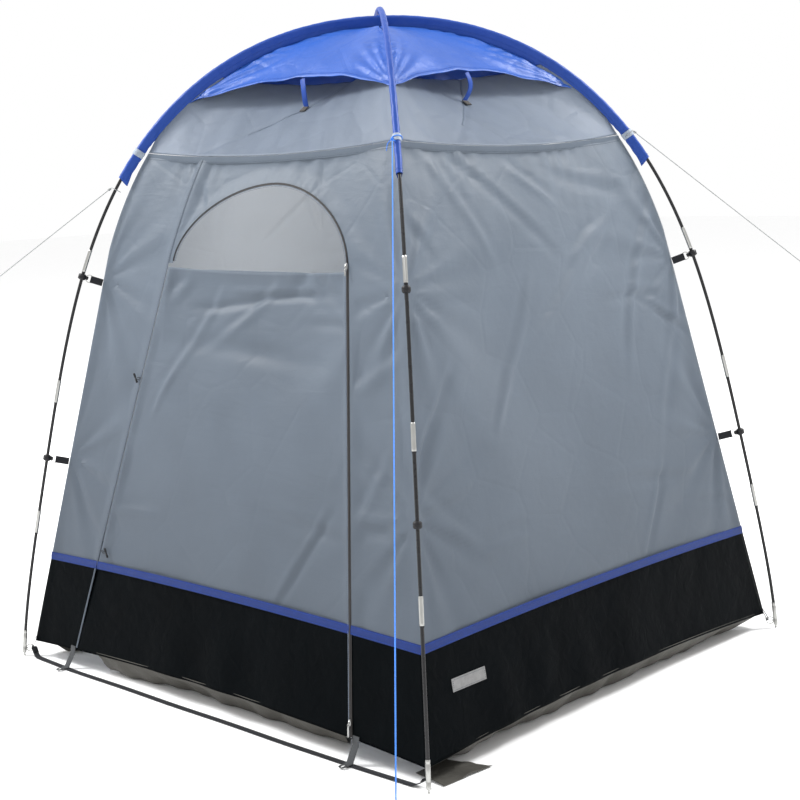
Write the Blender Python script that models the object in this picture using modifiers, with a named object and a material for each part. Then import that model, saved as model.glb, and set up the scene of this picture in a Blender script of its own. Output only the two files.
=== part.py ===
"""Privacy shower tent: two crossed shock-corded poles, clipped-on walls, a vented canopy and a zipped door.

Metres, +Z up, ground at z = 0. The door wall faces -Y. The four pole feet stand at the corners of a square.
"""

import math

import bmesh
import bpy
import numpy as np
from mathutils import Vector

# ---- overall sizes
HEIGHT = 2.10  # crown of the upper pole
HALF_DIAGONAL = 1.269  # centre to each pole foot
FOOT_LEAN = 0.0665  # lean of a pole leg at the ground, radians
BEND = (0.896, 0.252, -0.732)  # how the bend is spread along half a pole

# ---- poles
POLE_D = 0.0105
FERRULE_D = 0.0132
FERRULE_LEN = 0.075
SECTION = 0.447  # one pole section, ferrule to ferrule
FIRST_FERRULE = 0.426  # foot to the lower end of the first ferrule
CAP_TOP = 0.088  # top of the steel foot cap, along the pole

# ---- fabric
SKIN = 0.0016  # sheet thickness
GAP = 0.0005  # clearance between touching pieces
SEAM_GAP = 0.003  # either side of the door's hinge seam
SLEEVE_BORE = 0.0150
SLEEVE_WALL = 0.0035
CROSS_GAP = 0.001  # between the two sleeves at the crown
CROSS_STEP = SLEEVE_BORE + 2 * SLEEVE_WALL + CROSS_GAP  # how much higher the front-to-back pole crosses
SLEEVE_FIN = 0.0135  # the sleeve's seam allowance, which stands in from the tube towards the canopy
SLEEVE_REACH = 1.062  # crown to the end of a sleeve, along the pole
BAND_REACH = 0.936  # crown to the grey band on a sleeve
BAND_LEN = 0.022
BAND_WALL = 0.0050
CANOPY_INSET = 0.0275  # pole axis to the canopy
PANEL_INSET = 0.0320  # pole axis to the upper panels

# ---- heights, the lower ones from the ground and the upper ones from the crown down
WALL_FOOT = 0.050  # lower edge of the skirt at a corner
STRIPE_AT = 0.347  # middle of the stripe
STRIPE_H = 0.025
EAVE_BELOW_CROWN = 0.430  # sewn eave seam at a corner
HEM_BELOW_CROWN = 0.217  # canopy hem, middle of a side
VENT_CORNER_BELOW_CROWN = 0.200  # upper edge of an upper panel, at a corner
VENT_TOP_BELOW_CROWN = 0.238  # the same at its middle
FACET_BELOW_EAVE = 0.310  # the walls are flat below this
FOLD_BELOW_FACET = 0.050  # where the door's window flap folds
ARCH_BELOW_EAVE = 0.110  # top of the window

# ---- walls
WALL_FOOT_GAP = 0.036  # corner of the walls to the pole axis, at the skirt
WALL_GAP = 0.062  # the same at the top of the flat walls
SKIRT_RISE = 0.026  # the skirt's lower edge is higher in the middle
STRIPE_RISE = 0.012
EAVE_SAG = 0.025
HEM_DROP = 0.058  # canopy hem at a corner, below its middle
CANOPY_SAG = 0.030  # the canopy is pulled in by this at the middle of a hem
PANEL_SINK = 0.131  # the same for the upper edge of an upper panel

# ---- door, measured in from the walls' corners
SEAM_IN_LOW = 0.229
SEAM_IN_FOLD = 0.318
ZIP_IN_LOW = 0.271
ZIP_IN_FOLD = 0.210
ZIP_W = 0.010
ZIP_T = 0.0030
ARCH_IN = 0.3455  # zip to the top of the arch
ARCH_ROUND = 1.85
FLAP_CLEAR = 0.010
FLAP_STAND_OFF = 0.0045

# ---- fittings
CLIP_LOW = 0.683  # foot to the lower clip, along the pole
CLIP_UNDER_SLEEVE = 0.325  # end of the sleeve to the upper clip
CLIP_OD = 0.025
CLIP_LEN = 0.020
WEB_W = 0.024
WEB_T = 0.0018
RING_R = 0.0115
RING_WIRE = 0.0030
TIE_RING_R = 0.0125
TIE_RING_WIRE = 0.0028
STRUT_W = 0.021
STRUT_T = 0.0022
STRUT_SEAT = 0.66  # where a strut stands on the upper panel, up its slope
SLIDER_W = 0.009
SLIDER_L = 0.018
SLIDER_T = 0.0044
GUY_D = 0.0030
GUY_SLOPE = {"left": 0.722, "right": 0.827, "front": 0.775}
GUY_RUN = {"left": 0.50, "right": 0.60, "front": 1.60}  # outwards from the sleeve
GUY_EYE = 0.014
GUY_TURN = {"left": 0.0, "right": 0.0, "front": -4.35}  # degrees, off the corner's diagonal
GUY_ROUND = {"left": 0.0, "right": 0.0, "front": -61.0}  # where the line leaves the sleeve, in degrees

ROOT2 = math.sqrt(2)
CORNERS = {"front": -45, "right": 45, "back": 135, "left": 225}
FACES = {"front": 0, "right": 90, "back": 180, "left": 270}

for obj in list(bpy.data.objects):
    bpy.data.objects.remove(obj)

TENT = bpy.data.collections.new("privacy_shower_tent")
CUTTERS = bpy.data.collections.new("cutters")
for collection in (TENT, CUTTERS):
    bpy.context.scene.collection.children.link(collection)
CUTTERS.hide_render = True


def finish_of(name, colour, roughness, metallic=0.0):
    material = bpy.data.materials.new(name)
    material.use_nodes = True
    shader = material.node_tree.nodes["Principled BSDF"]
    shader.inputs["Base Color"].default_value = (*colour, 1)
    shader.inputs["Roughness"].default_value = roughness
    shader.inputs["Metallic"].default_value = metallic
    material.diffuse_color = (*colour, 1)
    return material


GLASSFIBRE = finish_of("black_glassfibre", (0.012, 0.012, 0.013), 0.30)
STEEL = finish_of("steel", (0.55, 0.54, 0.50), 0.32, 1.0)
BLUE = finish_of("canopy_blue", (0.030, 0.130, 0.620), 0.55)
SLEEVE_BLUE = finish_of("sleeve_blue", (0.018, 0.085, 0.420), 0.60)
STRIPE_BLUE = finish_of("stripe_blue", (0.010, 0.060, 0.480), 0.60)
GREY = finish_of("wall_grey", (0.270, 0.315, 0.385), 0.62)
LIGHT_GREY = finish_of("panel_grey", (0.350, 0.400, 0.460), 0.62)
BLACK = finish_of("skirt_black", (0.008, 0.009, 0.012), 0.55)
OLIVE = finish_of("flap_olive", (0.120, 0.115, 0.095), 0.70)
TAPE = finish_of("zip_tape", (0.040, 0.036, 0.034), 0.60)
SILVER = finish_of("zip_slider", (0.50, 0.50, 0.50), 0.35, 1.0)
WEBBING = finish_of("black_webbing", (0.016, 0.016, 0.020), 0.75)
CORD_GREY = finish_of("grey_cord", (0.32, 0.33, 0.33), 0.70)
CORD_BLUE = finish_of("blue_cord", (0.040, 0.200, 0.700), 0.65)
PATCH = finish_of("plain_patch", (0.45, 0.45, 0.44), 0.55)
TOGGLE = finish_of("black_plastic", (0.010, 0.010, 0.012), 0.45)


# ---- the bent poles, which everything else is hung from
def half_pole():
    """Distance along the pole from its foot, distance from the centre line and height, for half a bent pole."""
    share = np.linspace(0, 1, 801)
    a, b, c = BEND
    spread = 1 + a * (share - 1) + b * (share - 1) * (2 * share - 1)
    spread += c * (share - 1) * (6 * share**2 - 6 * share + 1)
    lean = FOOT_LEAN + (math.pi / 2 - FOOT_LEAN) * share * spread
    lean = (lean[1:] + lean[:-1]) / 2
    up = np.concatenate([[0], np.cumsum(np.cos(lean))])
    across = np.concatenate([[0], np.cumsum(np.sin(lean))])
    radius = HALF_DIAGONAL * (1 - across / across[-1])
    height = (HEIGHT - CROSS_STEP) * up / up[-1]
    length = np.concatenate([[0], np.cumsum(np.hypot(np.diff(radius), np.diff(height)))])
    return length, radius, height


POLE_S, POLE_R, POLE_Z = half_pole()
HALF_POLE = float(POLE_S[-1])
SLEEVE_END = HALF_POLE - SLEEVE_REACH
BAND_AT = HALF_POLE - BAND_REACH
CLIP_HIGH = SLEEVE_END - CLIP_UNDER_SLEEVE


def lifted_by(s):
    """How far the front-back pole is lifted over the other one."""
    share = min(max((s / HALF_POLE - 0.70) / 0.30, 0), 1)
    return CROSS_STEP * share * share * (3 - 2 * share)


def pole_point(s, lifted=False):
    r, z = float(np.interp(s, POLE_S, POLE_R)), float(np.interp(s, POLE_S, POLE_Z))
    return r, z + (lifted_by(s) if lifted else 0.0)


def pole_lean(s, lifted=False):
    """Unit tangent (across, up) of the pole, pointing from foot to crown."""
    if s >= HALF_POLE:
        return -1.0, 0.0
    (r0, z0), (r1, z1) = pole_point(max(s - 0.004, 0), lifted), pole_point(min(s + 0.004, HALF_POLE), lifted)
    size = math.hypot(r1 - r0, z1 - z0)
    return (r1 - r0) / size, (z1 - z0) / size


def inset(s, off):
    """The point this far inside the pole's axis."""
    (r, z), (across, up) = pole_point(s), pole_lean(s)
    return r - off * up, z + off * across


def radius_at(z):
    return float(np.interp(z, POLE_Z, POLE_R))


def s_at_inset(z, off):
    spots = np.linspace(0.3 * HALF_POLE, HALF_POLE, 240)
    return float(np.interp(z, [inset(s, off)[1] for s in spots], spots))


Z_FOOT = WALL_FOOT
Z_EAVE = HEIGHT - EAVE_BELOW_CROWN
Z_HEM = HEIGHT - HEM_BELOW_CROWN
Z_FACET = Z_EAVE - FACET_BELOW_EAVE
Z_FOLD = Z_FACET - FOLD_BELOW_FACET
Z_ARCH = Z_EAVE - ARCH_BELOW_EAVE
R_FOOT = radius_at(Z_FOOT) - WALL_FOOT_GAP
R_FACET = radius_at(Z_FACET) - WALL_GAP
PANEL_START = s_at_inset(Z_EAVE, PANEL_INSET)
EAVE_GAP = radius_at(Z_EAVE) - inset(PANEL_START, PANEL_INSET)[0]


def wall_half(z):
    """Centre to the outer face of a wall, measured square to it. The walls are flat up to Z_FACET."""
    if z <= Z_FACET:
        r = R_FOOT + (R_FACET - R_FOOT) * (z - Z_FOOT) / (Z_FACET - Z_FOOT)
    else:
        share = (z - Z_FACET) / (Z_EAVE - Z_FACET)
        r = radius_at(z) - WALL_GAP - (EAVE_GAP - WALL_GAP) * share
    return r / ROOT2


def wall_slope(z):
    return (wall_half(z + 0.01) - wall_half(z - 0.01)) / 0.02


def wall_out(z):
    """Unit normal of the door wall."""
    return Vector((0, -1, -wall_slope(z))).normalized()


def skirt_edge(t):
    return Z_FOOT + SKIRT_RISE * (1 - t * t)


def stripe_line(t):
    return STRIPE_AT + STRIPE_RISE * (0.5 - t * t)


def eave_line(t):
    return Z_EAVE - EAVE_SAG * (1 - t * t)


def between(z, low, high):
    return low + (high - low) * (z - Z_FOOT) / (Z_FOLD - Z_FOOT)


def seam_x(z):
    return between(z, SEAM_IN_LOW - wall_half(Z_FOOT), SEAM_IN_FOLD - wall_half(Z_FOLD))


def zip_x(z):
    return between(z, wall_half(Z_FOOT) - ZIP_IN_LOW, wall_half(Z_FOLD) - ZIP_IN_FOLD)


# ---- making objects
def add(name, data, material, turn=0.0):
    obj = bpy.data.objects.new(name, data)
    TENT.objects.link(obj)
    obj.rotation_euler.z = math.radians(turn)
    if material:
        data.materials.append(material)
    return obj


def smooth(mesh):
    mesh.shade_smooth()
    mesh.set_sharp_from_angle(angle=math.radians(40))


def mesh_of(name, points, faces):
    mesh = bpy.data.meshes.new(name)
    mesh.from_pydata(points, [], faces)
    bm = bmesh.new()
    bm.from_mesh(mesh)
    bmesh.ops.recalc_face_normals(bm, faces=bm.faces)
    bm.to_mesh(mesh)
    bm.free()
    return mesh


def cloth(name, point, across, up, material, turn=0.0, thick=SKIN):
    """A sheet: a grid laid on the surface point(u, v), with u and v from 0 to 1, and thickened inwards."""
    bm = bmesh.new()
    bmesh.ops.create_grid(bm, x_segments=across, y_segments=up, size=1)
    for vertex in bm.verts:
        vertex.co = point((vertex.co.x + 1) / 2, (vertex.co.y + 1) / 2)
    mesh = bpy.data.meshes.new(name)
    bm.to_mesh(mesh)
    bm.free()
    smooth(mesh)
    obj = add(name, mesh, material, turn)
    thickness = obj.modifiers.new("thickness", "SOLIDIFY")
    thickness.thickness, thickness.offset, thickness.use_even_offset = thick, -1, True
    return obj


def sweep(name, rings, material, turn=0.0, bore=None):
    """A body lofted through rings of points. A bore of as many inner rings makes it a tube."""
    n = len(rings[0])
    points = [p for ring in rings + (bore or []) for p in ring]
    last, inner = (len(rings) - 1) * n, len(rings) * n

    def skin(base, step):
        for i in range(len(rings) - 1):
            for j in range(n):
                k, low, high = (j + 1) % n, base + i * n, base + (i + 1) * n
                yield [low + j, low + k, high + k, high + j][::step]

    faces = list(skin(0, 1))
    if bore:
        faces += list(skin(inner, -1))
        for j in range(n):
            k = (j + 1) % n
            faces.append([k, j, inner + j, inner + k])
            faces.append([last + j, last + k, inner + last + k, inner + last + j])
    else:
        faces += [list(range(n))[::-1], list(range(last, last + n))]
    mesh = mesh_of(name, points, faces)
    smooth(mesh)
    return add(name, mesh, material, turn)


def ribbon(name, path, across, width, thick, material, turn=0.0):
    """Flat webbing or tape along a path. across is the direction of its width, one for the path or one a point."""
    path = [Vector(p) for p in path]
    rings = []
    for i, point in enumerate(path):
        along = (path[min(i + 1, len(path) - 1)] - path[max(i - 1, 0)]).normalized()
        side = Vector(across[i] if isinstance(across, list) else across)
        side = (side - along * side.dot(along)).normalized() * width / 2
        face = along.cross(side).normalized() * thick / 2
        rings.append([point + side * a + face * b for a, b in ((1, 1), (-1, 1), (-1, -1), (1, -1))])
    return sweep(name, rings, material, turn)


def rod(name, points, radii, material, turn=0.0, rounds=2):
    curve = bpy.data.curves.new(name, "CURVE")
    curve.dimensions, curve.bevel_depth, curve.bevel_resolution, curve.use_fill_caps = "3D", 1.0, rounds, True
    spline = curve.splines.new("POLY")
    spline.points.add(len(points) - 1)
    for spot, point, radius in zip(spline.points, points, radii):
        spot.co, spot.radius = (*point, 1), radius
    return add(name, curve, material, turn)


def settle(obj):
    """Replaces the object's mesh by its evaluated one."""
    bpy.context.view_layer.update()
    graph = bpy.context.evaluated_depsgraph_get()
    mesh = bpy.data.meshes.new_from_object(obj.evaluated_get(graph))
    obj.modifiers.clear()
    obj.data = mesh


def boolean(target, operation, *others):
    for other in others:
        other.hide_render = True
        step = target.modifiers.new(operation.lower(), "BOOLEAN")
        step.operation, step.solver, step.object = operation, "EXACT", other
    settle(target)
    for other in others:
        bpy.data.objects.remove(other)
    return target


def aim(obj, along, side=None):
    obj.rotation_mode = "QUATERNION"
    obj.rotation_quaternion = Vector(along).to_track_quat(*(side or ("Z", "Y")))
    smooth(obj.data)
    for collection in obj.users_collection:
        collection.objects.unlink(obj)
    TENT.objects.link(obj)
    return obj


def cylinder(radius, length, centre, along, sides=16):
    bpy.ops.mesh.primitive_cylinder_add(vertices=sides, radius=radius, depth=length, location=centre)
    return aim(bpy.context.object, along)


def torus(major, minor, centre, along, around=20, tube=8):
    bpy.ops.mesh.primitive_torus_add(
        major_radius=major, minor_radius=minor, major_segments=around, minor_segments=tube, location=centre
    )
    return aim(bpy.context.object, along)


def block(size, centre, along):
    bpy.ops.mesh.primitive_cube_add(size=1, location=centre)
    bpy.context.object.scale = size
    return aim(bpy.context.object, along, ("X", "Z"))


def prism(name, outline, low, high, collection):
    """An outline in x and y drawn out along z."""
    bm = bmesh.new()
    face = bm.faces.new([bm.verts.new((x, y, low)) for x, y in outline])
    drawn = bmesh.ops.extrude_face_region(bm, geom=[face])["geom"]
    bmesh.ops.translate(bm, vec=(0, 0, high - low), verts=[v for v in drawn if isinstance(v, bmesh.types.BMVert)])
    bmesh.ops.recalc_face_normals(bm, faces=bm.faces)
    mesh = bpy.data.meshes.new(name)
    bm.to_mesh(mesh)
    bm.free()
    obj = bpy.data.objects.new(name, mesh)
    collection.objects.link(obj)
    return obj


def rename(obj, name, material):
    obj.name = name
    obj.data.materials.clear()
    obj.data.materials.append(material)


def hang(pivot, at, *names):
    """Parents the named objects to an empty on their joint's axis."""
    empty = bpy.data.objects.new(pivot, None)
    TENT.objects.link(empty)
    empty.location = at
    bpy.context.view_layer.update()
    for name in names:
        child = bpy.data.objects[name]
        child.parent = empty
        child.matrix_parent_inverse = empty.matrix_world.inverted()


# ---- poles: each one a chain of sections, its ferrules standing proud of the rods
def pole(name, turn, lifted):
    stations = {CAP_TOP + GAP: POLE_D}
    starts = [FIRST_FERRULE + k * SECTION for k in range(9)]
    starts = [s for s in starts if s + FERRULE_LEN < SLEEVE_END - 0.05]
    for s in [*np.arange(CAP_TOP + 0.05, HALF_POLE - 0.03, 0.085), HALF_POLE]:
        if not any(low - 0.012 < s < low + FERRULE_LEN + 0.012 for low in starts):
            stations[float(s)] = POLE_D
    for low in starts:
        high = low + FERRULE_LEN
        stations |= {low: POLE_D, low + 0.0006: FERRULE_D, high - 0.0006: FERRULE_D, high: POLE_D}
    half = [(*pole_point(s, lifted), width / 2) for s, width in sorted(stations.items())]
    both = half + [(-r, z, width) for r, z, width in half[:-1][::-1]]
    rod(name, [(r, 0, z) for r, z, _ in both], [width for *_, width in both], GLASSFIBRE, turn, 3)


pole("pole_front_back", CORNERS["front"], True)
pole("pole_left_right", CORNERS["right"], False)


# ---- steel foot: cap over the pole's end, pin below it and the ring that the wall's corner is tied to
def corner_out(corner):
    turn = math.radians(CORNERS[corner])
    return Vector((math.cos(turn), math.sin(turn), 0))


def foot(corner):
    out, up = corner_out(corner), Vector((0, 0, 1))

    def spot(s):
        r, z = pole_point(s)
        return out * r + up * z

    low, top = spot(0.010), spot(CAP_TOP)
    cap = cylinder(FERRULE_D / 2, (top - low).length, (low + top) / 2, top - low)
    pin = cylinder(0.0034, 0.0105, spot(0.012) - up * 0.0067, up, 12)
    centre = spot(0.026) - out * (FERRULE_D / 2 + RING_R - RING_WIRE * 0.1)
    ring = torus(RING_R, RING_WIRE / 2, centre, out.cross(up))
    rename(boolean(cap, "UNION", pin, ring), f"foot_{corner}", STEEL)
    return centre - out * RING_R


RING_INNER = {corner: foot(corner) for corner in CORNERS}


# ---- sleeves over the upper part of each pole, with the grey band that takes the guy line
def sleeve(name, turn, lifted):
    walls = {float(s): SLEEVE_WALL for s in [*np.arange(SLEEVE_END, HALF_POLE - 0.02, 0.058), HALF_POLE]}
    walls = {s: wall for s, wall in walls.items() if abs(s - BAND_AT) > BAND_LEN}
    for share, wall in ((-0.5, SLEEVE_WALL), (-0.46, BAND_WALL), (0.46, BAND_WALL), (0.5, SLEEVE_WALL)):
        walls[BAND_AT + share * BAND_LEN] = wall
    half = sorted(walls.items())
    sides, outer, inner = 12, [], []
    for side, stations in ((1, half), (-1, half[:-1][::-1])):
        for s, wall in stations:
            (r, z), (across, up) = pole_point(s, lifted), pole_lean(s, lifted)
            centre, out = Vector((r * side, 0, z)), Vector((up * side, 0, -across))
            fin = SLEEVE_FIN * (1 - lifted_by(s) / CROSS_STEP if lifted else 1)
            for rings, radius, reach in ((outer, SLEEVE_BORE / 2 + wall, fin), (inner, SLEEVE_BORE / 2, 0)):
                ring = []
                for k in range(sides):
                    angle = 2 * math.pi * k / sides
                    outward = radius * math.cos(angle) - reach * max(0, -math.cos(angle)) ** 2
                    ring.append(centre + out * outward + Vector((0, radius * math.sin(angle), 0)))
                rings.append(ring)
    sweep(name, outer, SLEEVE_BLUE, turn, inner)


sleeve("sleeve_front_back", CORNERS["front"], True)
sleeve("sleeve_left_right", CORNERS["right"], False)


# ---- canopy gores and upper panels. On two sides they run right to the corner, on the others they stop behind it
def edge_gap(face):
    return GAP if face in ("front", "back") else 2 * SKIN + GAP


def panel_mid(share):
    """The middle line of an upper panel: centre to panel, and height."""
    low_h, low_z = wall_half(Z_EAVE - EAVE_SAG), Z_EAVE - EAVE_SAG
    top_r, _ = inset(s_at_inset(HEIGHT - VENT_CORNER_BELOW_CROWN, PANEL_INSET), PANEL_INSET)
    top_h, top_z = top_r / ROOT2 - PANEL_SINK, HEIGHT - VENT_TOP_BELOW_CROWN
    return low_h + (top_h - low_h) * share, low_z + (top_z - low_z) * share


def canopy(face, turn):
    def point(u, v):
        t = 2 * u - 1
        start = s_at_inset(Z_HEM - HEM_DROP * t * t, CANOPY_INSET)
        r, z = inset(start + (HALF_POLE - 0.012 - start) * v, CANOPY_INSET)
        h = r / ROOT2
        return t * (h - edge_gap(face)), -(h - CANOPY_SAG * (1 - v) * (1 - t * t)), z

    cloth(f"canopy_{face}", point, 12, 10, BLUE, turn)


def upper_panel(face, turn):
    end = s_at_inset(HEIGHT - VENT_CORNER_BELOW_CROWN, PANEL_INSET)

    def point(u, v):
        t = 2 * u - 1
        r, z = inset(PANEL_START + (end - PANEL_START) * v, PANEL_INSET)
        h, (mid_h, mid_z), bow = r / ROOT2, panel_mid(v), 1 - t * t
        return t * (h - edge_gap(face)), -(h + (mid_h - h) * bow), z + (mid_z - z) * bow + SKIN + GAP

    cloth(f"upper_panel_{face}", point, 12, 5, LIGHT_GREY, turn)


# ---- vent struts: stiff straps that prop the canopy's hem off the upper panel
def strut(face, turn):
    r, _ = inset(s_at_inset(Z_HEM, CANOPY_INSET), CANOPY_INSET)
    top = Vector((0, -(r / ROOT2 - CANOPY_SAG - 2.5 * SKIN), Z_HEM - 0.0045))
    (low_h, low_z), (high_h, high_z) = panel_mid(0), panel_mid(1)
    slope = Vector((0, low_h - high_h, high_z - low_z)).normalized()
    mid_h, mid_z = panel_mid(STRUT_SEAT)
    base = Vector((0, -mid_h, mid_z)) + Vector((0, -slope.z, slope.y)) * (SKIN + GAP + STRUT_T)
    path = [top]
    for k in range(1, 5):
        bow = math.sin(math.pi * k / 5)
        path.append(top.lerp(base, k / 5) + Vector((0.010, -0.012, 0)) * bow)
    path += [base, base - slope * 0.022]
    ribbon(f"vent_strut_{face}", path, (1, 0, 0), STRUT_W, STRUT_T, SLEEVE_BLUE, turn)
    angle = math.radians(turn)
    return Vector((-top.y * math.sin(angle), top.y * math.cos(angle), top.z))


STRUT_PIVOTS = {}
for face, turn in FACES.items():
    canopy(face, turn)
    upper_panel(face, turn)
    STRUT_PIVOTS[face] = strut(face, turn)
    hang(f"strut_{face}_pivot", STRUT_PIVOTS[face], f"vent_strut_{face}")


# ---- walls, skirts and the door leaf
def sheet(name, rows, x_low, x_high, material, turn=0.0, across=8, skin=0.0, thick=SKIN):
    """A piece of wall. rows are its heights, as numbers or functions of t, which runs -1 to 1 across the tent.

    x_low and x_high give its side edges from the height and the half-width. skin is how far it lies outside the wall.
    """

    def point(u, v):
        row = rows[round(v * (len(rows) - 1))]
        nominal = row(0) if callable(row) else row
        half = wall_half(nominal)
        x = x_low(nominal, half) + (x_high(nominal, half) - x_low(nominal, half)) * u
        z = row(max(-1, min(1, x / half))) if callable(row) else row
        half = wall_half(z)
        return x_low(z, half) + (x_high(z, half) - x_low(z, half)) * u, -(half + skin), z

    return cloth(name, point, across, len(rows) - 1, material, turn, thick)


def corner_edges(face):
    gap = edge_gap(face)
    return (lambda z, half: gap - half), (lambda z, half: half - gap)


def seam_left(z, half):
    return seam_x(z) - SEAM_GAP


def seam_right(z, half):
    return seam_x(z) + SEAM_GAP


def zip_left(z, half):
    return zip_x(z) - ZIP_W / 2 - GAP


def zip_right(z, half):
    return zip_x(z) + ZIP_W / 2 + GAP


def wall_low(t):
    return stripe_line(t) + GAP


def skirt_top(t):
    return stripe_line(t) - GAP


WALL_ROWS = [wall_low, *(Z_FACET + (Z_EAVE - EAVE_SAG - Z_FACET) * k / 3 for k in range(3)), eave_line]
for face in ("right", "back", "left"):
    sheet(f"wall_{face}", WALL_ROWS, *corner_edges(face), GREY, FACES[face])
    sheet(f"skirt_{face}", [skirt_edge, skirt_top], *corner_edges(face), BLACK, FACES[face])


def arch(shrink, count=28):
    """The window's arch from its right end to its left end, drawn in by shrink."""
    left, right = seam_x(Z_FOLD) + 0.022 + shrink, zip_x(Z_FOLD) - shrink
    top, rise = zip_x(Z_FOLD) - ARCH_IN, Z_ARCH - Z_FOLD - shrink
    points = []
    for k in range(count + 1):
        c, s = math.cos(math.pi * k / count), math.sin(math.pi * k / count)
        reach = right - top if c > 0 else top - left
        points.append((top + math.copysign(reach * abs(c) ** (2 / ARCH_ROUND), c), Z_FOLD + rise * abs(s) ** (2 / ARCH_ROUND)))
    return points


def doorway():
    low, side = STRIPE_AT - 0.1, ZIP_W / 2 + GAP
    outline = [(seam_x(low) - SEAM_GAP, low), (zip_x(low) + side, low), (zip_x(Z_FOLD) + side, Z_FOLD)]
    outline += arch(-side)[1:-1]
    shoulder = Z_FOLD + 0.012
    outline += [(arch(-side)[-1][0], shoulder), (seam_x(Z_FOLD) - SEAM_GAP, shoulder)]
    cutter = prism("doorway", outline, 0, HALF_DIAGONAL, CUTTERS)
    cutter.rotation_euler.x = math.pi / 2
    cutter.hide_render, cutter.display_type = True, "WIRE"
    return cutter


wall_front = sheet("wall_front", WALL_ROWS, *corner_edges("front"), GREY, across=16)
opening = wall_front.modifiers.new("doorway", "BOOLEAN")
opening.operation, opening.solver, opening.object = "DIFFERENCE", "EXACT", doorway()

sheet("skirt_front_left", [skirt_edge, skirt_top], corner_edges("front")[0], seam_left, BLACK, across=3)
sheet("skirt_front_right", [skirt_edge, skirt_top], zip_right, corner_edges("front")[1], BLACK, across=3)
sheet("door_panel", [wall_low, Z_FOLD], seam_right, zip_left, GREY)
sheet("door_skirt", [skirt_edge, skirt_top], seam_right, zip_left, BLACK)

# a small loop of webbing stands out of the left wall near the door's corner
tab_z = STRIPE_AT + 0.130
tab = block((0.022, 0.030, 0.003), (-wall_half(tab_z) - 0.011, -wall_half(tab_z) + 0.030, tab_z), (0, 1, 0))
boolean(bpy.data.objects["wall_left"], "UNION", tab)


# ---- stripe sewn over the joint of walls and skirts, from the hinge seam round the back to the zip
STRIPE_OFF, STRIPE_T = 0.0005, 0.0011


def stripe_walls():
    half = wall_half(STRIPE_AT)
    start, end = zip_x(STRIPE_AT) / half, seam_x(STRIPE_AT) / half
    spots = [(0, start), (0, (start + 1) / 2)]
    spots += [(turn, -1 + k / 3) for turn in (90, 180, 270) for k in range(6)]
    spots += [(0, -1), (0, (end - 1) / 2), (0, end)]
    rings = []
    for n, (turn, t) in enumerate(spots):
        cos, sin = math.cos(math.radians(turn)), math.sin(math.radians(turn))
        ring = []
        for level, out in ((-0.5, STRIPE_OFF), (-0.5, STRIPE_OFF + STRIPE_T), (0.5, STRIPE_OFF + STRIPE_T), (0.5, STRIPE_OFF)):
            z = stripe_line(t) + level * STRIPE_H
            y = -(wall_half(z) + out)
            x = zip_right(z, half) if n == 0 else seam_left(z, half) if n == len(spots) - 1 else -t * y
            ring.append(Vector((x * cos - y * sin, x * sin + y * cos, z)))
        rings.append(ring)
    sweep("stripe_walls", rings, STRIPE_BLUE)


def stripe_low(t):
    return stripe_line(t) - STRIPE_H / 2


def stripe_high(t):
    return stripe_line(t) + STRIPE_H / 2


stripe_walls()
sheet(
    "stripe_door", [stripe_low, stripe_high], seam_right, zip_left, STRIPE_BLUE, skin=STRIPE_OFF + STRIPE_T,
    thick=STRIPE_T,
)

# ---- window flap, unzipped and hanging inside the door from its fold
FLAP_Y = -(wall_half(Z_FOLD) - SKIN) + FLAP_STAND_OFF


def window_flap():
    curve = bpy.data.curves.new("window_flap", "CURVE")
    curve.dimensions, curve.fill_mode, curve.extrude = "2D", "BOTH", SKIN / 2
    outline = [(x, -(z - Z_FOLD) - 0.004) for x, z in arch(FLAP_CLEAR)]
    spline = curve.splines.new("POLY")
    spline.points.add(len(outline) - 1)
    for spot, (x, y) in zip(spline.points, outline):
        spot.co = (x, y, 0, 1)
    spline.use_cyclic_u = True
    flap = add("window_flap", curve, GREY)
    flap.rotation_euler.x = math.pi / 2
    flap.location = (0, FLAP_Y + SKIN / 2, Z_FOLD)


window_flap()


# ---- zip: a tape up the right side of the door and over the arch
def zip_tape():
    foot = skirt_edge(0.7) + 0.004
    spots = [(zip_x(foot + (Z_FOLD - foot) * k / 4), foot + (Z_FOLD - foot) * k / 4) for k in range(5)]
    spots += arch(0.0, 30)[1:-1]
    path = [Vector((x, -wall_half(z), z)) + wall_out(z) * (0.0007 - SKIN / 2) for x, z in spots]
    across = []
    for k, (x, z) in enumerate(spots):
        along = path[min(k + 1, len(path) - 1)] - path[max(k - 1, 0)]
        across.append(along.normalized().cross(wall_out(z)))
    ribbon("zip_tape", path, across, ZIP_W - 2 * GAP, ZIP_T, TAPE)


zip_tape()


# ---- zip sliders and their pulls
def slider(name, z, pull_len):
    out = wall_out(z)
    along = Vector((zip_x(z + 0.5) - zip_x(z - 0.5), -wall_slope(z), 1)).normalized()
    body = Vector((zip_x(z), -wall_half(z), z)) + out * (0.0007 - SKIN / 2 + ZIP_T / 2 + GAP + SLIDER_T / 2)
    ends = [body - along * SLIDER_L / 2, body, body + along * SLIDER_L / 2]
    plate = ribbon(name, ends, (1, 0, 0), SLIDER_W, SLIDER_T, SILVER)
    pivot = body + out * 0.0034 - along * 0.002
    rename(boolean(plate, "UNION", cylinder(0.0022, 0.007, pivot, (1, 0, 0), 10)), name, SILVER)
    top = pivot + out * 0.0042 - along * 0.001
    path = [top + along * 0.0014, top - along * pull_len * 0.5, top - along * pull_len]
    ribbon(f"{name}_pull", path, (1, 0, 0), 0.0055, 0.0014, SILVER)
    hang(f"{name}_pivot", pivot, f"{name}_pull")
    hang(f"{name}_slide", body, name, f"{name}_pivot")
    return pivot


PIVOTS = {
    "slider_upper": slider("slider_upper", Z_FOLD + 0.015, 0.026),
    "slider_lower": slider("slider_lower", Z_FOOT + 0.055, 0.036),
}


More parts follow.
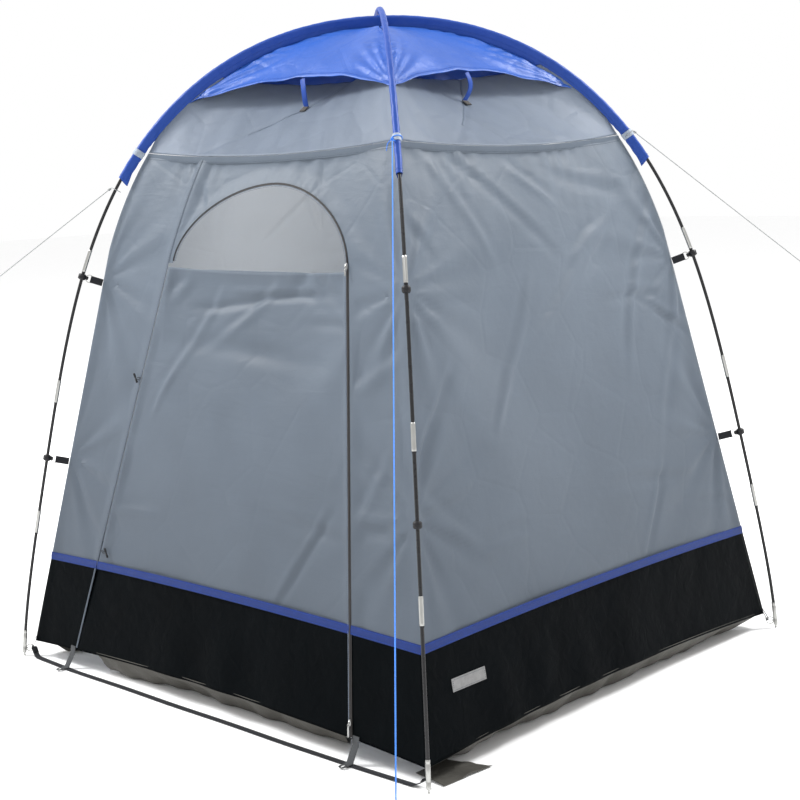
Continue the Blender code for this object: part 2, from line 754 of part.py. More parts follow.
# ---- ground flaps: they fall inwards from the skirts to the ground
def ground_flap(name, x_low, x_high, reach, turn=0.0, across=8, flat=0.06):
    def point(u, v):
        x = x_low + (x_high - x_low) * u
        edge = skirt_edge(max(-1, min(1, x / wall_half(Z_FOOT))))
        half = wall_half(edge)
        back, z = ((0.0012 + SKIN, edge - GAP - 0.0014), (reach(x), 0.0012), (reach(x) + flat, 0.0012))[round(2 * (1 - v))]
        return x * (half - back - 0.004) / half, -(half - back), z

    return cloth(name, point, across, 2, OLIVE, turn)


FLAP_X = wall_half(Z_FOOT) - 0.012
for face in ("right", "back", "left"):
    ground_flap(f"ground_flap_{face}", -FLAP_X, FLAP_X, lambda x: 0.070, FACES[face])
ground_flap(
    "ground_flap_door",
    seam_x(Z_FOOT) + 0.100,
    zip_x(Z_FOOT) - 0.030,
    lambda x: 0.030 + 0.045 * min(1, (x - seam_x(Z_FOOT)) / 0.5),
    flat=0.030,
)

# a corner of the right ground flap has slipped out under the skirt and lies outside
corner_x = wall_half(Z_FOOT)
tongue = [(-0.085, 0.050), (0.030, 0.030), (0.042, 0.215), (-0.085, 0.170)]
tongue = prism("tongue", [(corner_x + x, y - corner_x) for x, y in tongue], 0.0013, 0.0026, TENT)
boolean(bpy.data.objects["ground_flap_right"], "UNION", tongue)


# ---- threshold strap between the left and front feet
def threshold():
    left, right = RING_INNER["left"], RING_INNER["front"]
    end = Vector((0.0055, 0, 0))
    path = [left + end, Vector((left.x + 0.040, left.y - 0.010, 0.003))]
    run = path[1].x * 0.75
    path += [Vector((run * (1 - k / 2), -HALF_DIAGONAL / ROOT2 + 0.004, 0.0022)) for k in range(5)]
    path += [Vector((right.x - 0.040, right.y - 0.010, 0.003)), right - end]
    ribbon("threshold_strap", path, (0, 1, 0), 0.020, 0.0018, WEBBING)


threshold()


# ---- ties from the door's two sides to the threshold strap, each ending in an eyelet for a peg
def ground_tie(name, left, lean):
    x, front = left + WEB_W / 2, -wall_half(Z_FOOT) - 0.0016
    strap_y = -HALF_DIAGONAL / ROOT2 + 0.004
    top = skirt_edge(x / wall_half(Z_FOOT)) + 0.012
    end = Vector((x + lean * 1.2, strap_y - 0.024, 0.0054))
    path = [Vector((x, -wall_half(top) - 0.0016, top)), Vector((x, front, Z_FOOT))]
    path += [Vector((x + lean, strap_y, 0.0054)), end]
    web = ribbon(name, path, (1, 0, 0), WEB_W, WEB_T, None)
    boolean(web, "UNION", cylinder(WEB_W / 2 + 0.001, WEB_T + 0.0006, end, (0, 0, 1), 20))
    rename(boolean(web, "DIFFERENCE", cylinder(0.0048, 0.02, end, (0, 0, 1), 12)), name, WEBBING)


ground_tie("ground_tie_seam", seam_x(Z_FOOT) - SEAM_GAP - 0.002 - WEB_W, -0.010)
ground_tie("ground_tie_zip", zip_x(Z_FOOT) + ZIP_W / 2 + 2 * GAP, -0.004)


# ---- corner ties: a tab of webbing from each corner of the skirts down to the ring of its foot
CORNER_SKIRTS = {"front": "skirt_front_right", "right": "skirt_back", "back": "skirt_back", "left": "skirt_front_left"}
for corner, skirt in CORNER_SKIRTS.items():
    out, top = corner_out(corner), Z_FOOT + 0.012
    high = out * (wall_half(top) * ROOT2 - WEB_T / 2) + Vector((0, 0, top))
    low = RING_INNER[corner] + out * 0.003 + Vector((0, 0, 0.0125))
    tab = ribbon("tab", [high, low], tuple(out.cross(Vector((0, 0, 1)))), 0.012, WEB_T, None)
    boolean(bpy.data.objects[skirt], "UNION", tab)


# ---- pole clips: webbing from the wall's corner, a tie ring and a clip snapped round the pole
def clip(name, corner, s):
    out, up = corner_out(corner), Vector((0, 0, 1))
    (r, z), (across, rise) = pole_point(s), pole_lean(s)
    along, inward = out * across + up * rise, up * across - out * rise
    centre = out * r + up * z
    body = cylinder(CLIP_OD / 2, CLIP_LEN, centre, along)
    boolean(body, "DIFFERENCE", cylinder(FERRULE_D / 2 + 0.0009, CLIP_LEN * 2, centre, along))

    def to_wall(reach):
        spot = centre + inward * reach
        return spot.xy.length - wall_half(spot.z) * ROOT2

    reach = 0.0
    for _ in range(20):
        reach += to_wall(reach) * 0.8
    hook = block((0.012, 0.007, 0.012), centre + inward * (CLIP_OD / 2 + 0.004), inward)
    ring_at = CLIP_OD / 2 + 0.012
    ring = torus(TIE_RING_R, TIE_RING_WIRE / 2, centre + inward * ring_at, along.cross(inward), 16, 6)
    ends = [centre + inward * (ring_at + 0.004), centre + inward * (reach - 0.0030)]
    web = ribbon("web", ends, tuple(along), WEB_W, WEB_T, None)
    rename(boolean(body, "UNION", hook, ring, web), name, WEBBING)


for corner in CORNERS:
    clip(f"clip_{corner}_low", corner, CLIP_LOW)
    clip(f"clip_{corner}_high", corner, CLIP_HIGH)


# ---- small trim: toggles beside the hinge seam and a plain patch on the right skirt
def toggle(name, x, z):
    ends = [Vector((x + k * 0.010, -wall_half(z - k * 0.014) - 0.0045, z - k * 0.014)) for k in (-1, 1)]
    rod(name, ends, [0.0034, 0.0034], TOGGLE)


TOGGLE_HIGH, TOGGLE_LOW = 0.955, 0.393
toggle("toggle_upper", seam_x(TOGGLE_HIGH) - 0.024, TOGGLE_HIGH)
toggle("toggle_lower", seam_x(TOGGLE_LOW) + 0.036, TOGGLE_LOW)
patch = -wall_half(Z_FOOT) + 0.144
sheet(
    "patch_plain", [STRIPE_AT - 0.140, STRIPE_AT - 0.105], lambda z, half: patch, lambda z, half: patch + 0.140,
    PATCH, FACES["right"], across=1, skin=0.0014, thick=0.0009,
)

door_at = Vector((seam_x(Z_FOOT), -(wall_half(Z_FOOT) - SKIN / 2), Z_FOOT))
hang("door_pivot", door_at, "door_panel", "door_skirt", "stripe_door", "ground_flap_door", "toggle_lower")
FOLD_AT = Vector((0, FLAP_Y - FLAP_STAND_OFF / 2, Z_FOLD + 0.002))
hang("window_flap_pivot", FOLD_AT, "window_flap")


# ---- guy lines: taut from the sleeve's band, each ending in a tied eye
def guy(corner, s, material):
    lifted = corner in ("front", "back")
    (r, z), (across, rise) = pole_point(s, lifted), pole_lean(s, lifted)
    off = SLEEVE_BORE / 2 + BAND_WALL + GUY_D / 2 + 0.0006
    leaves, turn = math.radians(GUY_ROUND[corner]), math.radians(GUY_TURN[corner])
    r, y, z = r + off * math.cos(leaves) * rise, off * math.sin(leaves), z - off * math.cos(leaves) * across
    slope, run = GUY_SLOPE[corner], GUY_RUN[corner]
    flat = [(run * k / 12, -run * slope * k / 12) for k in range(13)]
    tilt = math.atan2(-slope, 1)
    eye_r, eye_z = run + GUY_EYE * math.cos(tilt), -run * slope + GUY_EYE * math.sin(tilt)
    for k in range(1, 12):
        angle = tilt + math.pi + math.radians(345) * k / 11
        flat.append((eye_r + GUY_EYE * math.cos(angle), eye_z + GUY_EYE * math.sin(angle)))
    points = [(r + a * math.cos(turn), y + a * math.sin(turn), z + b) for a, b in flat]
    rod(f"guy_line_{corner}", points, [GUY_D / 2] * len(points), material, CORNERS[corner])


guy("left", SLEEVE_END - 0.016, CORD_GREY)
guy("right", BAND_AT, CORD_GREY)
guy("front", BAND_AT, CORD_BLUE)
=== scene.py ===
"""Looks of the privacy shower tent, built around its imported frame. Metres, +Z up, the door wall faces -Y."""

import math

import bmesh
import bpy
import numpy as np
from mathutils import Matrix, Vector


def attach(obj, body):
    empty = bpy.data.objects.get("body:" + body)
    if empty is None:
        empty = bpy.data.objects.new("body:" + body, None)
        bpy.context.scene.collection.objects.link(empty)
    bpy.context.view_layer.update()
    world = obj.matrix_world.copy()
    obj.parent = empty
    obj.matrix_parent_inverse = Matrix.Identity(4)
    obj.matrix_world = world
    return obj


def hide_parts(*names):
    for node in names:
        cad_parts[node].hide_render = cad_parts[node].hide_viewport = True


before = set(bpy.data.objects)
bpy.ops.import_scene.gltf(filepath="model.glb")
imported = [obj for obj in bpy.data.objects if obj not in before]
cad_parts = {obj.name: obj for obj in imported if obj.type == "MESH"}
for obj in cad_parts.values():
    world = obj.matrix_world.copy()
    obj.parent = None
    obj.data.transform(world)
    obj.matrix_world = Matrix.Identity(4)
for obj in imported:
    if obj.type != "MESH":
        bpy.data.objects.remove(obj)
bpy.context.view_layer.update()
UP = Vector((0, 0, 1))

# ---- sizes shared with the frame
HEIGHT, HALF_DIAGONAL, FOOT_LEAN, BEND = 2.10, 1.269, 0.0665, (0.896, 0.252, -0.732)
POLE_D, FERRULE_D, FERRULE_LEN, SECTION, FIRST_FERRULE = 0.0105, 0.0132, 0.075, 0.447, 0.426
CAP_TOP = 0.088
SKIN, GAP, SEAM_GAP = 0.0016, 0.0005, 0.003
SLEEVE_BORE, SLEEVE_WALL, SLEEVE_FIN, SLEEVE_REACH = 0.0150, 0.0035, 0.0135, 1.062
BAND_REACH, BAND_LEN, BAND_WALL, CROSS_GAP = 0.936, 0.022, 0.0050, 0.001
CROSS_STEP = SLEEVE_BORE + 2 * SLEEVE_WALL + CROSS_GAP
CANOPY_INSET, PANEL_INSET = 0.0275, 0.0320
WALL_FOOT, STRIPE_AT, STRIPE_H = 0.050, 0.347, 0.025
EAVE_BELOW_CROWN, HEM_BELOW_CROWN, VENT_CORNER_BELOW_CROWN = 0.430, 0.217, 0.200
VENT_TOP_BELOW_CROWN, FACET_BELOW_EAVE, FOLD_BELOW_FACET = 0.238, 0.310, 0.050
ARCH_BELOW_EAVE, WALL_FOOT_GAP, WALL_GAP = 0.110, 0.036, 0.062
SKIRT_RISE, STRIPE_RISE, EAVE_SAG, HEM_DROP, CANOPY_SAG, PANEL_SINK = 0.026, 0.012, 0.025, 0.058, 0.030, 0.131
SEAM_IN_LOW, SEAM_IN_FOLD, ZIP_IN_LOW, ZIP_IN_FOLD = 0.229, 0.318, 0.271, 0.210
ZIP_W, ZIP_T, ARCH_IN, ARCH_ROUND, FLAP_CLEAR = 0.010, 0.0030, 0.3455, 1.85, 0.010
CLIP_LOW, CLIP_UNDER_SLEEVE = 0.683, 0.325
STRUT_SEAT = 0.66
GUY_D = 0.0030
GUY_SLOPE = {"left": 0.722, "right": 0.827, "front": 0.775}
GUY_RUN = {"left": 0.50, "right": 0.60, "front": 1.60}
GUY_EYE = 0.014
GUY_TURN = {"left": 0.0, "right": 0.0, "front": -4.35}
GUY_ROUND = {"left": 0.0, "right": 0.0, "front": -61.0}
ROOT2 = math.sqrt(2)
CORNERS = {"front": -45, "right": 45, "back": 135, "left": 225}
FACES = {"front": 0, "right": 90, "back": 180, "left": 270}


# ---- camera
def aim_camera():
    yaw, pitch, roll = map(math.radians, (-0.400, -5.351, -2.242))
    ahead = Vector((math.sin(yaw) * math.cos(pitch), math.cos(yaw) * math.cos(pitch), math.sin(pitch)))
    right = Vector((math.cos(yaw), -math.sin(yaw), 0))
    above = right.cross(ahead)
    side = right * math.cos(roll) + above * math.sin(roll)
    top = above * math.cos(roll) - right * math.sin(roll)
    turn = Matrix.Rotation(math.radians(45), 3, "Z")
    rotation = turn @ Matrix((side, top, -ahead)).transposed()
    data = bpy.data.cameras.new("view")
    data.sensor_width, data.lens = 36, 69.26
    data.shift_x, data.shift_y = 0.12086, -0.11174
    camera = bpy.data.objects.new("view", data)
    bpy.context.scene.collection.objects.link(camera)
    camera.matrix_world = Matrix.LocRotScale(Vector((3.4114, -3.7595, 1.6082)),
        rotation.to_quaternion(), None)
    bpy.context.scene.camera = camera


aim_camera()


# ---- the bent poles
def half_pole():
    share = np.linspace(0, 1, 801)
    a, b, c = BEND
    spread = 1 + a * (share - 1) + b * (share - 1) * (2 * share - 1)
    spread += c * (share - 1) * (6 * share**2 - 6 * share + 1)
    lean = FOOT_LEAN + (math.pi / 2 - FOOT_LEAN) * share * spread
    lean = (lean[1:] + lean[:-1]) / 2
    up = np.concatenate([[0], np.cumsum(np.cos(lean))])
    across = np.concatenate([[0], np.cumsum(np.sin(lean))])
    radius = HALF_DIAGONAL * (1 - across / across[-1])
    height = (HEIGHT - CROSS_STEP) * up / up[-1]
    length = np.concatenate([[0], np.cumsum(np.hypot(np.diff(radius), np.diff(height)))])
    return length, radius, height


POLE_S, POLE_R, POLE_Z = half_pole()
HALF_POLE = float(POLE_S[-1])
SLEEVE_END, BAND_AT = HALF_POLE - SLEEVE_REACH, HALF_POLE - BAND_REACH
CLIP_HIGH = SLEEVE_END - CLIP_UNDER_SLEEVE


def lifted_by(s):
    share = min(max((s / HALF_POLE - 0.70) / 0.30, 0), 1)
    return CROSS_STEP * share * share * (3 - 2 * share)


def pole_point(s, lifted=False):
    r, z = float(np.interp(s, POLE_S, POLE_R)), float(np.interp(s, POLE_S, POLE_Z))
    return r, z + (lifted_by(s) if lifted else 0.0)


def pole_lean(s, lifted=False):
    if s >= HALF_POLE:
        return -1.0, 0.0
    (r0, z0), (r1, z1) = pole_point(max(s - 0.004, 0), lifted), pole_point(min(s + 0.004, HALF_POLE), lifted)
    size = math.hypot(r1 - r0, z1 - z0)
    return (r1 - r0) / size, (z1 - z0) / size


def inset(s, off):
    (r, z), (across, up) = pole_point(s), pole_lean(s)
    return r - off * up, z + off * across


def radius_at(z):
    return float(np.interp(z, POLE_Z, POLE_R))


INSET_TABLES = {}


def s_at_inset(z, off):
    spots = np.linspace(0.3 * HALF_POLE, HALF_POLE, 240)
    if off not in INSET_TABLES:
        INSET_TABLES[off] = [inset(s, off)[1] for s in spots]
    return float(np.interp(z, INSET_TABLES[off], spots))


# ---- cords: the guy lines, on the same routes as in the frame
def corner_out(corner):
    turn = math.radians(CORNERS[corner])
    return Vector((math.cos(turn), math.sin(turn), 0))


def guy_route(corner, s):
    lifted = corner in ("front", "back")
    (r, z), (across, rise) = pole_point(s, lifted), pole_lean(s, lifted)
    off = SLEEVE_BORE / 2 + BAND_WALL + GUY_D / 2 + 0.0006
    leaves, turn = math.radians(GUY_ROUND[corner]), math.radians(GUY_TURN[corner])
    r, y, z = r + off * math.cos(leaves) * rise, off * math.sin(leaves), z - off * math.cos(leaves) * across
    slope, run = GUY_SLOPE[corner], GUY_RUN[corner]
    flat = [(run * k / 12, -run * slope * k / 12) for k in range(13)]
    tilt = math.atan2(-slope, 1)
    eye_r, eye_z = run + GUY_EYE * math.cos(tilt), -run * slope + GUY_EYE * math.sin(tilt)
    for k in range(1, 12):
        angle = tilt + math.pi + math.radians(345) * k / 11
        flat.append((eye_r + GUY_EYE * math.cos(angle), eye_z + GUY_EYE * math.sin(angle)))
    out = corner_out(corner)
    side = Vector((-out.y, out.x, 0))
    return [out * (r + a * math.cos(turn)) + side * (y + a * math.sin(turn)) + UP * (z + b) for a, b in flat]


# ---- materials
def link(tree, a, b):
    tree.links.new(a, b)


def material(name, colour, rough, metal=0.0, mottle=0.06, mottle_scale=7.0, sheen=0.0, coat=0.0, spec=0.5):
    """A shader whose colour and roughness vary a little, and its node tree for the bump that's added to it."""
    mat = bpy.data.materials.new(name)
    mat.use_nodes = True
    tree = mat.node_tree
    shader = tree.nodes["Principled BSDF"]
    shader.inputs["Metallic"].default_value = metal
    shader.inputs["Sheen Weight"].default_value = sheen
    shader.inputs["Sheen Roughness"].default_value = 0.5
    shader.inputs["Coat Weight"].default_value = coat
    shader.inputs["Specular IOR Level"].default_value = spec
    where = tree.nodes.new("ShaderNodeTexCoord")
    noise = tree.nodes.new("ShaderNodeTexNoise")
    noise.inputs["Scale"].default_value = mottle_scale
    noise.inputs["Detail"].default_value = 5
    link(tree, where.outputs["Object"], noise.inputs["Vector"])
    ramp = tree.nodes.new("ShaderNodeValToRGB")
    ramp.color_ramp.elements[0].position, ramp.color_ramp.elements[1].position = 0.3, 0.7
    ramp.color_ramp.elements[0].color = (*(c * (1 - mottle) for c in colour), 1)
    ramp.color_ramp.elements[1].color = (*(min(1, c * (1 + mottle)) for c in colour), 1)
    link(tree, noise.outputs["Fac"], ramp.inputs["Fac"])
    link(tree, ramp.outputs["Color"], shader.inputs["Base Color"])
    spread = tree.nodes.new("ShaderNodeMapRange")
    spread.inputs["To Min"].default_value, spread.inputs["To Max"].default_value = rough - 0.06, rough + 0.06
    link(tree, noise.outputs["Fac"], spread.inputs["Value"])
    link(tree, spread.outputs["Result"], shader.inputs["Roughness"])
    return mat


def add_bump(mat, layers):
    """Bumps on top of each other: (texture node, its output, strength, height in metres)."""
    tree = mat.node_tree
    normal = None
    for output, strength, height in layers:
        bump = tree.nodes.new("ShaderNodeBump")
        bump.inputs["Strength"].default_value = strength
        bump.inputs["Distance"].default_value = height
        link(tree, output, bump.inputs["Height"])
        if normal:
            link(tree, normal, bump.inputs["Normal"])
        normal = bump.outputs["Normal"]
    link(tree, normal, tree.nodes["Principled BSDF"].inputs["Normal"])


def texture(mat, kind, scale, stretch=(1, 1, 1), turn=(0, 0, 0), **settings):
    tree = mat.node_tree
    where = tree.nodes.new("ShaderNodeTexCoord")
    mapping = tree.nodes.new("ShaderNodeMapping")
    mapping.inputs["Scale"].default_value = stretch
    mapping.inputs["Rotation"].default_value = turn
    node = tree.nodes.new(kind)
    node.inputs["Scale"].default_value = scale
    for key, value in settings.items():
        if key in node.inputs:
            node.inputs[key].default_value = value
        else:
            setattr(node, key, value)
    link(tree, where.outputs["Object"], mapping.inputs["Vector"])
    link(tree, mapping.outputs["Vector"], node.inputs["Vector"])
    return node


def let_light_through(mat, colour, share):
    """Thin cloth: part of the light passes to the other side."""
    tree = mat.node_tree
    shader = tree.nodes["Principled BSDF"]
    through = tree.nodes.new("ShaderNodeBsdfTranslucent")
    through.inputs["Color"].default_value = (*colour, 1)
    mix = tree.nodes.new("ShaderNodeMixShader")
    mix.inputs["Fac"].default_value = share
    link(tree, shader.outputs["BSDF"], mix.inputs[1])
    link(tree, through.outputs["BSDF"], mix.inputs[2])
    link(tree, mix.outputs["Shader"], tree.nodes["Material Output"].inputs["Surface"])


def woven(name, colour, rough, thread=0.0011, crease=0.0016, sheen=0.0, mottle=0.05, spec=0.25,
        through=None, share=0.0):
    """Coated polyester: a plain weave, fine packing creases and soft dents."""
    mat = material(name, colour, rough, sheen=sheen, mottle=mottle, spec=spec)
    layers = []
    dents = texture(mat, "ShaderNodeTexNoise", 5.5, Detail=3, Roughness=0.55)
    layers.append((dents.outputs["Fac"], 0.55, crease * 6))
    crumple = texture(mat, "ShaderNodeTexNoise", 22, Detail=4, Distortion=1.2)
    layers.append((crumple.outputs["Fac"], 0.55, crease * 1.4))
    if through:
        drawn = texture(mat, "ShaderNodeTexNoise", 5, stretch=(1, 1, 4), Detail=6, Distortion=1.6)
        layers.append((drawn.outputs["Fac"], 0.35, crease * 3))
        cells = texture(mat, "ShaderNodeTexVoronoi", 4.5, feature="DISTANCE_TO_EDGE")
        folds = mat.node_tree.nodes.new("ShaderNodeMapRange")
        folds.inputs["From Max"].default_value = 0.05
        link(mat.node_tree, cells.outputs["Distance"], folds.inputs["Value"])
        layers.append((folds.outputs["Result"], 0.30, crease * 1.6))
    for axis in "XYZ":
        threads = texture(mat, "ShaderNodeTexWave", 0.314 / thread, bands_direction=axis)
        layers.append((threads.outputs["Fac"], 0.12, thread * 0.3))
    add_bump(mat, layers)
    if through:
        let_light_through(mat, through, share)
    return mat


def paint_low_shade(mat, low, high, share):
    """Paints shade onto the cloth towards the ground, where it gets less light: full colour at the height high, share
    of it at low.
    """
    tree = mat.node_tree
    shader = tree.nodes["Principled BSDF"]
    unshaded = shader.inputs["Base Color"].links[0].from_socket
    where = tree.nodes.new("ShaderNodeTexCoord")
    split = tree.nodes.new("ShaderNodeSeparateXYZ")
    fade = tree.nodes.new("ShaderNodeMapRange")
    fade.inputs["From Min"].default_value, fade.inputs["From Max"].default_value = low, high
    fade.inputs["To Min"].default_value = share
    scale = tree.nodes.new("ShaderNodeVectorMath")
    scale.operation = "SCALE"
    link(tree, where.outputs["Object"], split.inputs["Vector"])
    link(tree, split.outputs["Z"], fade.inputs["Value"])
    link(tree, unshaded, scale.inputs["Vector"])
    link(tree, fade.outputs["Result"], scale.inputs["Scale"])
    link(tree, scale.outputs["Vector"], shader.inputs["Base Color"])


def webbing(name, colour, rough=0.75):
    mat = material(name, colour, rough, sheen=0.05, mottle=0.12, mottle_scale=60, spec=0.2)
    ribs = [texture(mat, "ShaderNodeTexWave", 130, bands_direction=axis) for axis in "XYZ"]
    add_bump(mat, [(rib.outputs["Fac"], 0.4, 0.0007) for rib in ribs])
    return mat


def hard(name, colour, rough, metal=0.0, grain=220, height=0.0002, coat=0.0, mottle=0.05):
    mat = material(name, colour, rough, metal, mottle, 30, coat=coat, spec=0.5 if metal else 0.3)
    noise = texture(mat, "ShaderNodeTexNoise", grain, Detail=3)
    add_bump(mat, [(noise.outputs["Fac"], 0.35, height)])
    return mat


def braided(name, colour):
    mat = material(name, colour, 0.6, sheen=0.05, mottle=0.25, mottle_scale=400, spec=0.2)
    one = texture(mat, "ShaderNodeTexWave", 180, turn=(0.6, 0.6, 0.6))
    two = texture(mat, "ShaderNodeTexWave", 180, turn=(-0.6, 0.6, -0.6))
    add_bump(mat, [(one.outputs["Fac"], 0.5, 0.0004), (two.outputs["Fac"], 0.5, 0.0004)])
    return mat


BLUE = woven("canopy_blue", (0.024, 0.100, 0.430), 0.42, crease=0.0022, spec=0.35,
    through=(0.05, 0.20, 0.75), share=0.12)
BLUE_IN = woven("canopy_blue_inside", (0.020, 0.080, 0.360), 0.55, through=(0.05, 0.20, 0.75), share=0.12)
# painted shade: the sleeves' blue is the canopy blue made darker, for the shade in their gathers; the vent strut straps
# use it too
SHADED_SLEEVE_BLUE = woven("sleeve_blue", (0.014, 0.058, 0.300), 0.45, crease=0.0030)
STRIPE = webbing("stripe_blue", (0.003, 0.020, 0.130), 0.5)
GREY = woven("wall_grey", (0.122, 0.149, 0.186), 0.50, mottle=0.05, through=(0.72, 0.77, 0.83), share=0.25)
GREY_IN = woven("wall_grey_inside", (0.46, 0.475, 0.49), 0.55, mottle=0.03, through=(0.90, 0.91, 0.92),
    share=0.35)
# painted shade: the outer wall colour darkens towards the ground, to 0.66 of it at 0.35 m
paint_low_shade(GREY, 0.35, 1.30, 0.66)
LIGHT = woven("panel_grey", (0.160, 0.194, 0.250), 0.50, mottle=0.04, through=(0.72, 0.77, 0.85), share=0.30)
LIGHT_IN = woven("panel_grey_inside", (0.50, 0.505, 0.51), 0.55, mottle=0.03,
    through=(0.90, 0.91, 0.92), share=0.35)
BLACK = woven("skirt_black", (0.0016, 0.0024, 0.0030), 0.50, crease=0.0028, mottle=0.15, spec=0.02)
OLIVE = woven("flap_olive", (0.075, 0.072, 0.064), 0.55, crease=0.0030, mottle=0.12, spec=0.15)
TAPE = webbing("zip_tape", (0.050, 0.047, 0.046))
WEB = webbing("black_webbing", (0.014, 0.015, 0.018))
GREY_WEB = webbing("grey_webbing", (0.055, 0.058, 0.062))
BAND = webbing("grey_band", (0.34, 0.39, 0.46), 0.5)
VELCRO = webbing("velcro", (0.085, 0.080, 0.075), 0.9)
PATCH = webbing("plain_patch", (0.20, 0.20, 0.20), 0.6)
ROD = hard("black_glassfibre", (0.010, 0.010, 0.011), 0.28, coat=0.08, height=0.00008)
STEEL = hard("steel", (0.40, 0.40, 0.385), 0.30, 1.0, height=0.00012)
SILVER = hard("zip_metal", (0.44, 0.44, 0.43), 0.28, 1.0, height=0.0001)
PLASTIC = hard("black_plastic", (0.010, 0.010, 0.012), 0.45, height=0.0001)
THREAD = hard("dark_thread", (0.085, 0.098, 0.120), 0.8, height=0.0003)
THREAD_BLUE = hard("blue_thread", (0.014, 0.060, 0.300), 0.8, height=0.0003)
CORD_GREY = braided("grey_cord", (0.34, 0.35, 0.35))
CORD_BLUE = braided("blue_cord", (0.055, 0.230, 0.780))
FLOOR = material("pale_floor", (0.97, 0.97, 0.97), 0.9, mottle=0.005, spec=0.05)


# ---- making pieces
def finished(obj, body, slot, *nodes, mats=()):
    for mat in mats:
        obj.data.materials.append(mat)
    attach(obj, body)
    if nodes:
        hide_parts(*nodes)
    return obj


def turned(point, turn):
    angle = math.radians(turn)
    x, y, z = point
    c, s = math.cos(angle), math.sin(angle)
    return Vector((x * c - y * s, x * s + y * c, z))


def mesh_object(name, points, faces, smooth_angle=45):
    mesh = bpy.data.meshes.new(name)
    mesh.from_pydata([tuple(p) for p in points], [], faces)
    bm = bmesh.new()
    bm.from_mesh(mesh)
    bmesh.ops.recalc_face_normals(bm, faces=bm.faces)
    bm.to_mesh(mesh)
    bm.free()
    mesh.shade_smooth()
    mesh.set_sharp_from_angle(angle=math.radians(smooth_angle))
    obj = bpy.data.objects.new(name, mesh)
    bpy.context.scene.collection.objects.link(obj)
    return obj


def applied(obj):
    """Bakes the object's modifiers into its mesh."""
    bpy.context.view_layer.update()
    graph = bpy.context.evaluated_depsgraph_get()
    mesh = bpy.data.meshes.new_from_object(obj.evaluated_get(graph))
    obj.modifiers.clear()
    obj.data = mesh
    return obj


def grid_cloth(name, point, across, up, mats, thick=0.0009, keep=None):
    """A sheet on the surface point(u, v), with its outer face on it and mats[1], if there is one, on its inner face."""
    points = [point(i / across, j / up) for j in range(up + 1) for i in range(across + 1)]
    row = across + 1
    faces = []
    for j in range(up):
        for i in range(across):
            if keep is None or keep((i + 0.5) / across, (j + 0.5) / up):
                faces.append([j * row + i, j * row + i + 1, (j + 1) * row + i + 1, (j + 1) * row + i])
    mesh = bpy.data.meshes.new(name)
    mesh.from_pydata([tuple(p) for p in points], [], faces)
    if keep:
        bm = bmesh.new()
        bm.from_mesh(mesh)
        bmesh.ops.delete(bm, geom=[v for v in bm.verts if not v.link_faces], context="VERTS")
        bm.to_mesh(mesh)
        bm.free()
    mesh.shade_smooth()
    for mat in mats:
        mesh.materials.append(mat)
    obj = bpy.data.objects.new(name, mesh)
    bpy.context.scene.collection.objects.link(obj)
    area = sum(face.area for face in mesh.polygons)
    shell = obj.modifiers.new("thickness", "SOLIDIFY")
    shell.thickness, shell.offset, shell.use_even_offset = thick, -1, True
    shell.material_offset = 1 if len(mats) > 1 else 0
    shell.material_offset_rim = 0
    applied(obj)
    return obj, area


def sweep(name, rings, closed_ends=True):
    n = len(rings[0])
    points = [p for ring in rings for p in ring]
    faces = []
    for i in range(len(rings) - 1):
        for j in range(n):
            k = (j + 1) % n
            faces.append([i * n + j, i * n + k, (i + 1) * n + k, (i + 1) * n + j])
    if closed_ends:
        last = (len(rings) - 1) * n
        faces += [list(range(n))[::-1], list(range(last, last + n))]
    return points, faces


def frames_along(path):
    """A tangent and two square directions at each point, turned as little as possible from one to the next."""
    tangents = [(path[min(i + 1, len(path) - 1)] - path[max(i - 1, 0)]).normalized()
        for i in range(len(path))]
    side = tangents[0].orthogonal().normalized()
    made = []
    for tangent in tangents:
        side = (side - tangent * side.dot(tangent)).normalized()
        made.append((tangent, side, tangent.cross(side)))
    return made


def tube_parts(path, radii, sides=14):
    path = [Vector(p) for p in path]
    radii = radii if isinstance(radii, (list, tuple)) else [radii] * len(path)
    rings = []
    for point, radius, (_, a, b) in zip(path, radii, frames_along(path)):
        turns = [2 * math.pi * k / sides for k in range(sides)]
        rings.append([point + (a * math.cos(t) + b * math.sin(t)) * radius for t in turns])
    return sweep("", rings)


def ribbon_parts(path, across, width, thick, bulge=0.0):
    path = [Vector(p) for p in path]
    rings = []
    for i, point in enumerate(path):
        along = (path[min(i + 1, len(path) - 1)] - path[max(i - 1, 0)]).normalized()
        side = Vector(across[i] if isinstance(across, list) else across)
        side = (side - along * side.dot(along)).normalized()
        wide = width[i] if isinstance(width, list) else width
        face = along.cross(side).normalized()
        half, edge = thick / 2, thick * 0.32
        ring = [(1, edge), (0.93, half), (0, half + bulge), (-0.93, half), (-1, edge)]
        ring += [(-1, -edge), (-0.93, -half), (0.93, -half), (1, -edge)]
        rings.append([point + side * (a * wide / 2) + face * b for a, b in ring])
    return sweep("", rings)


def joined(name, parts, smooth_angle=45):
    points, faces = [], []
    for more, cells in parts:
        base = len(points)
        points += more
        faces += [[base + i for i in cell] for cell in cells]
    return mesh_object(name, points, faces, smooth_angle)


def torus_parts(centre, axis, major, minor, around=28, tube=10, squash=1.0, flat=None):
    axis = Vector(axis).normalized()
    a = Vector(flat).normalized() if flat else axis.orthogonal().normalized()
    b = axis.cross(a)
    points, faces = [], []
    for i in range(around):
        turn = 2 * math.pi * i / around
        spoke = a * math.cos(turn) + b * math.sin(turn) * squash
        for j in range(tube):
            roll = 2 * math.pi * j / tube
            points.append(centre + spoke * major
                + (spoke.normalized() * math.cos(roll) + axis * math.sin(roll)) * minor)
    for i in range(around):
        for j in range(tube):
            i2, j2 = (i + 1) % around, (j + 1) % tube
            faces.append([i * tube + j, i2 * tube + j, i2 * tube + j2, i * tube + j2])
    return points, faces


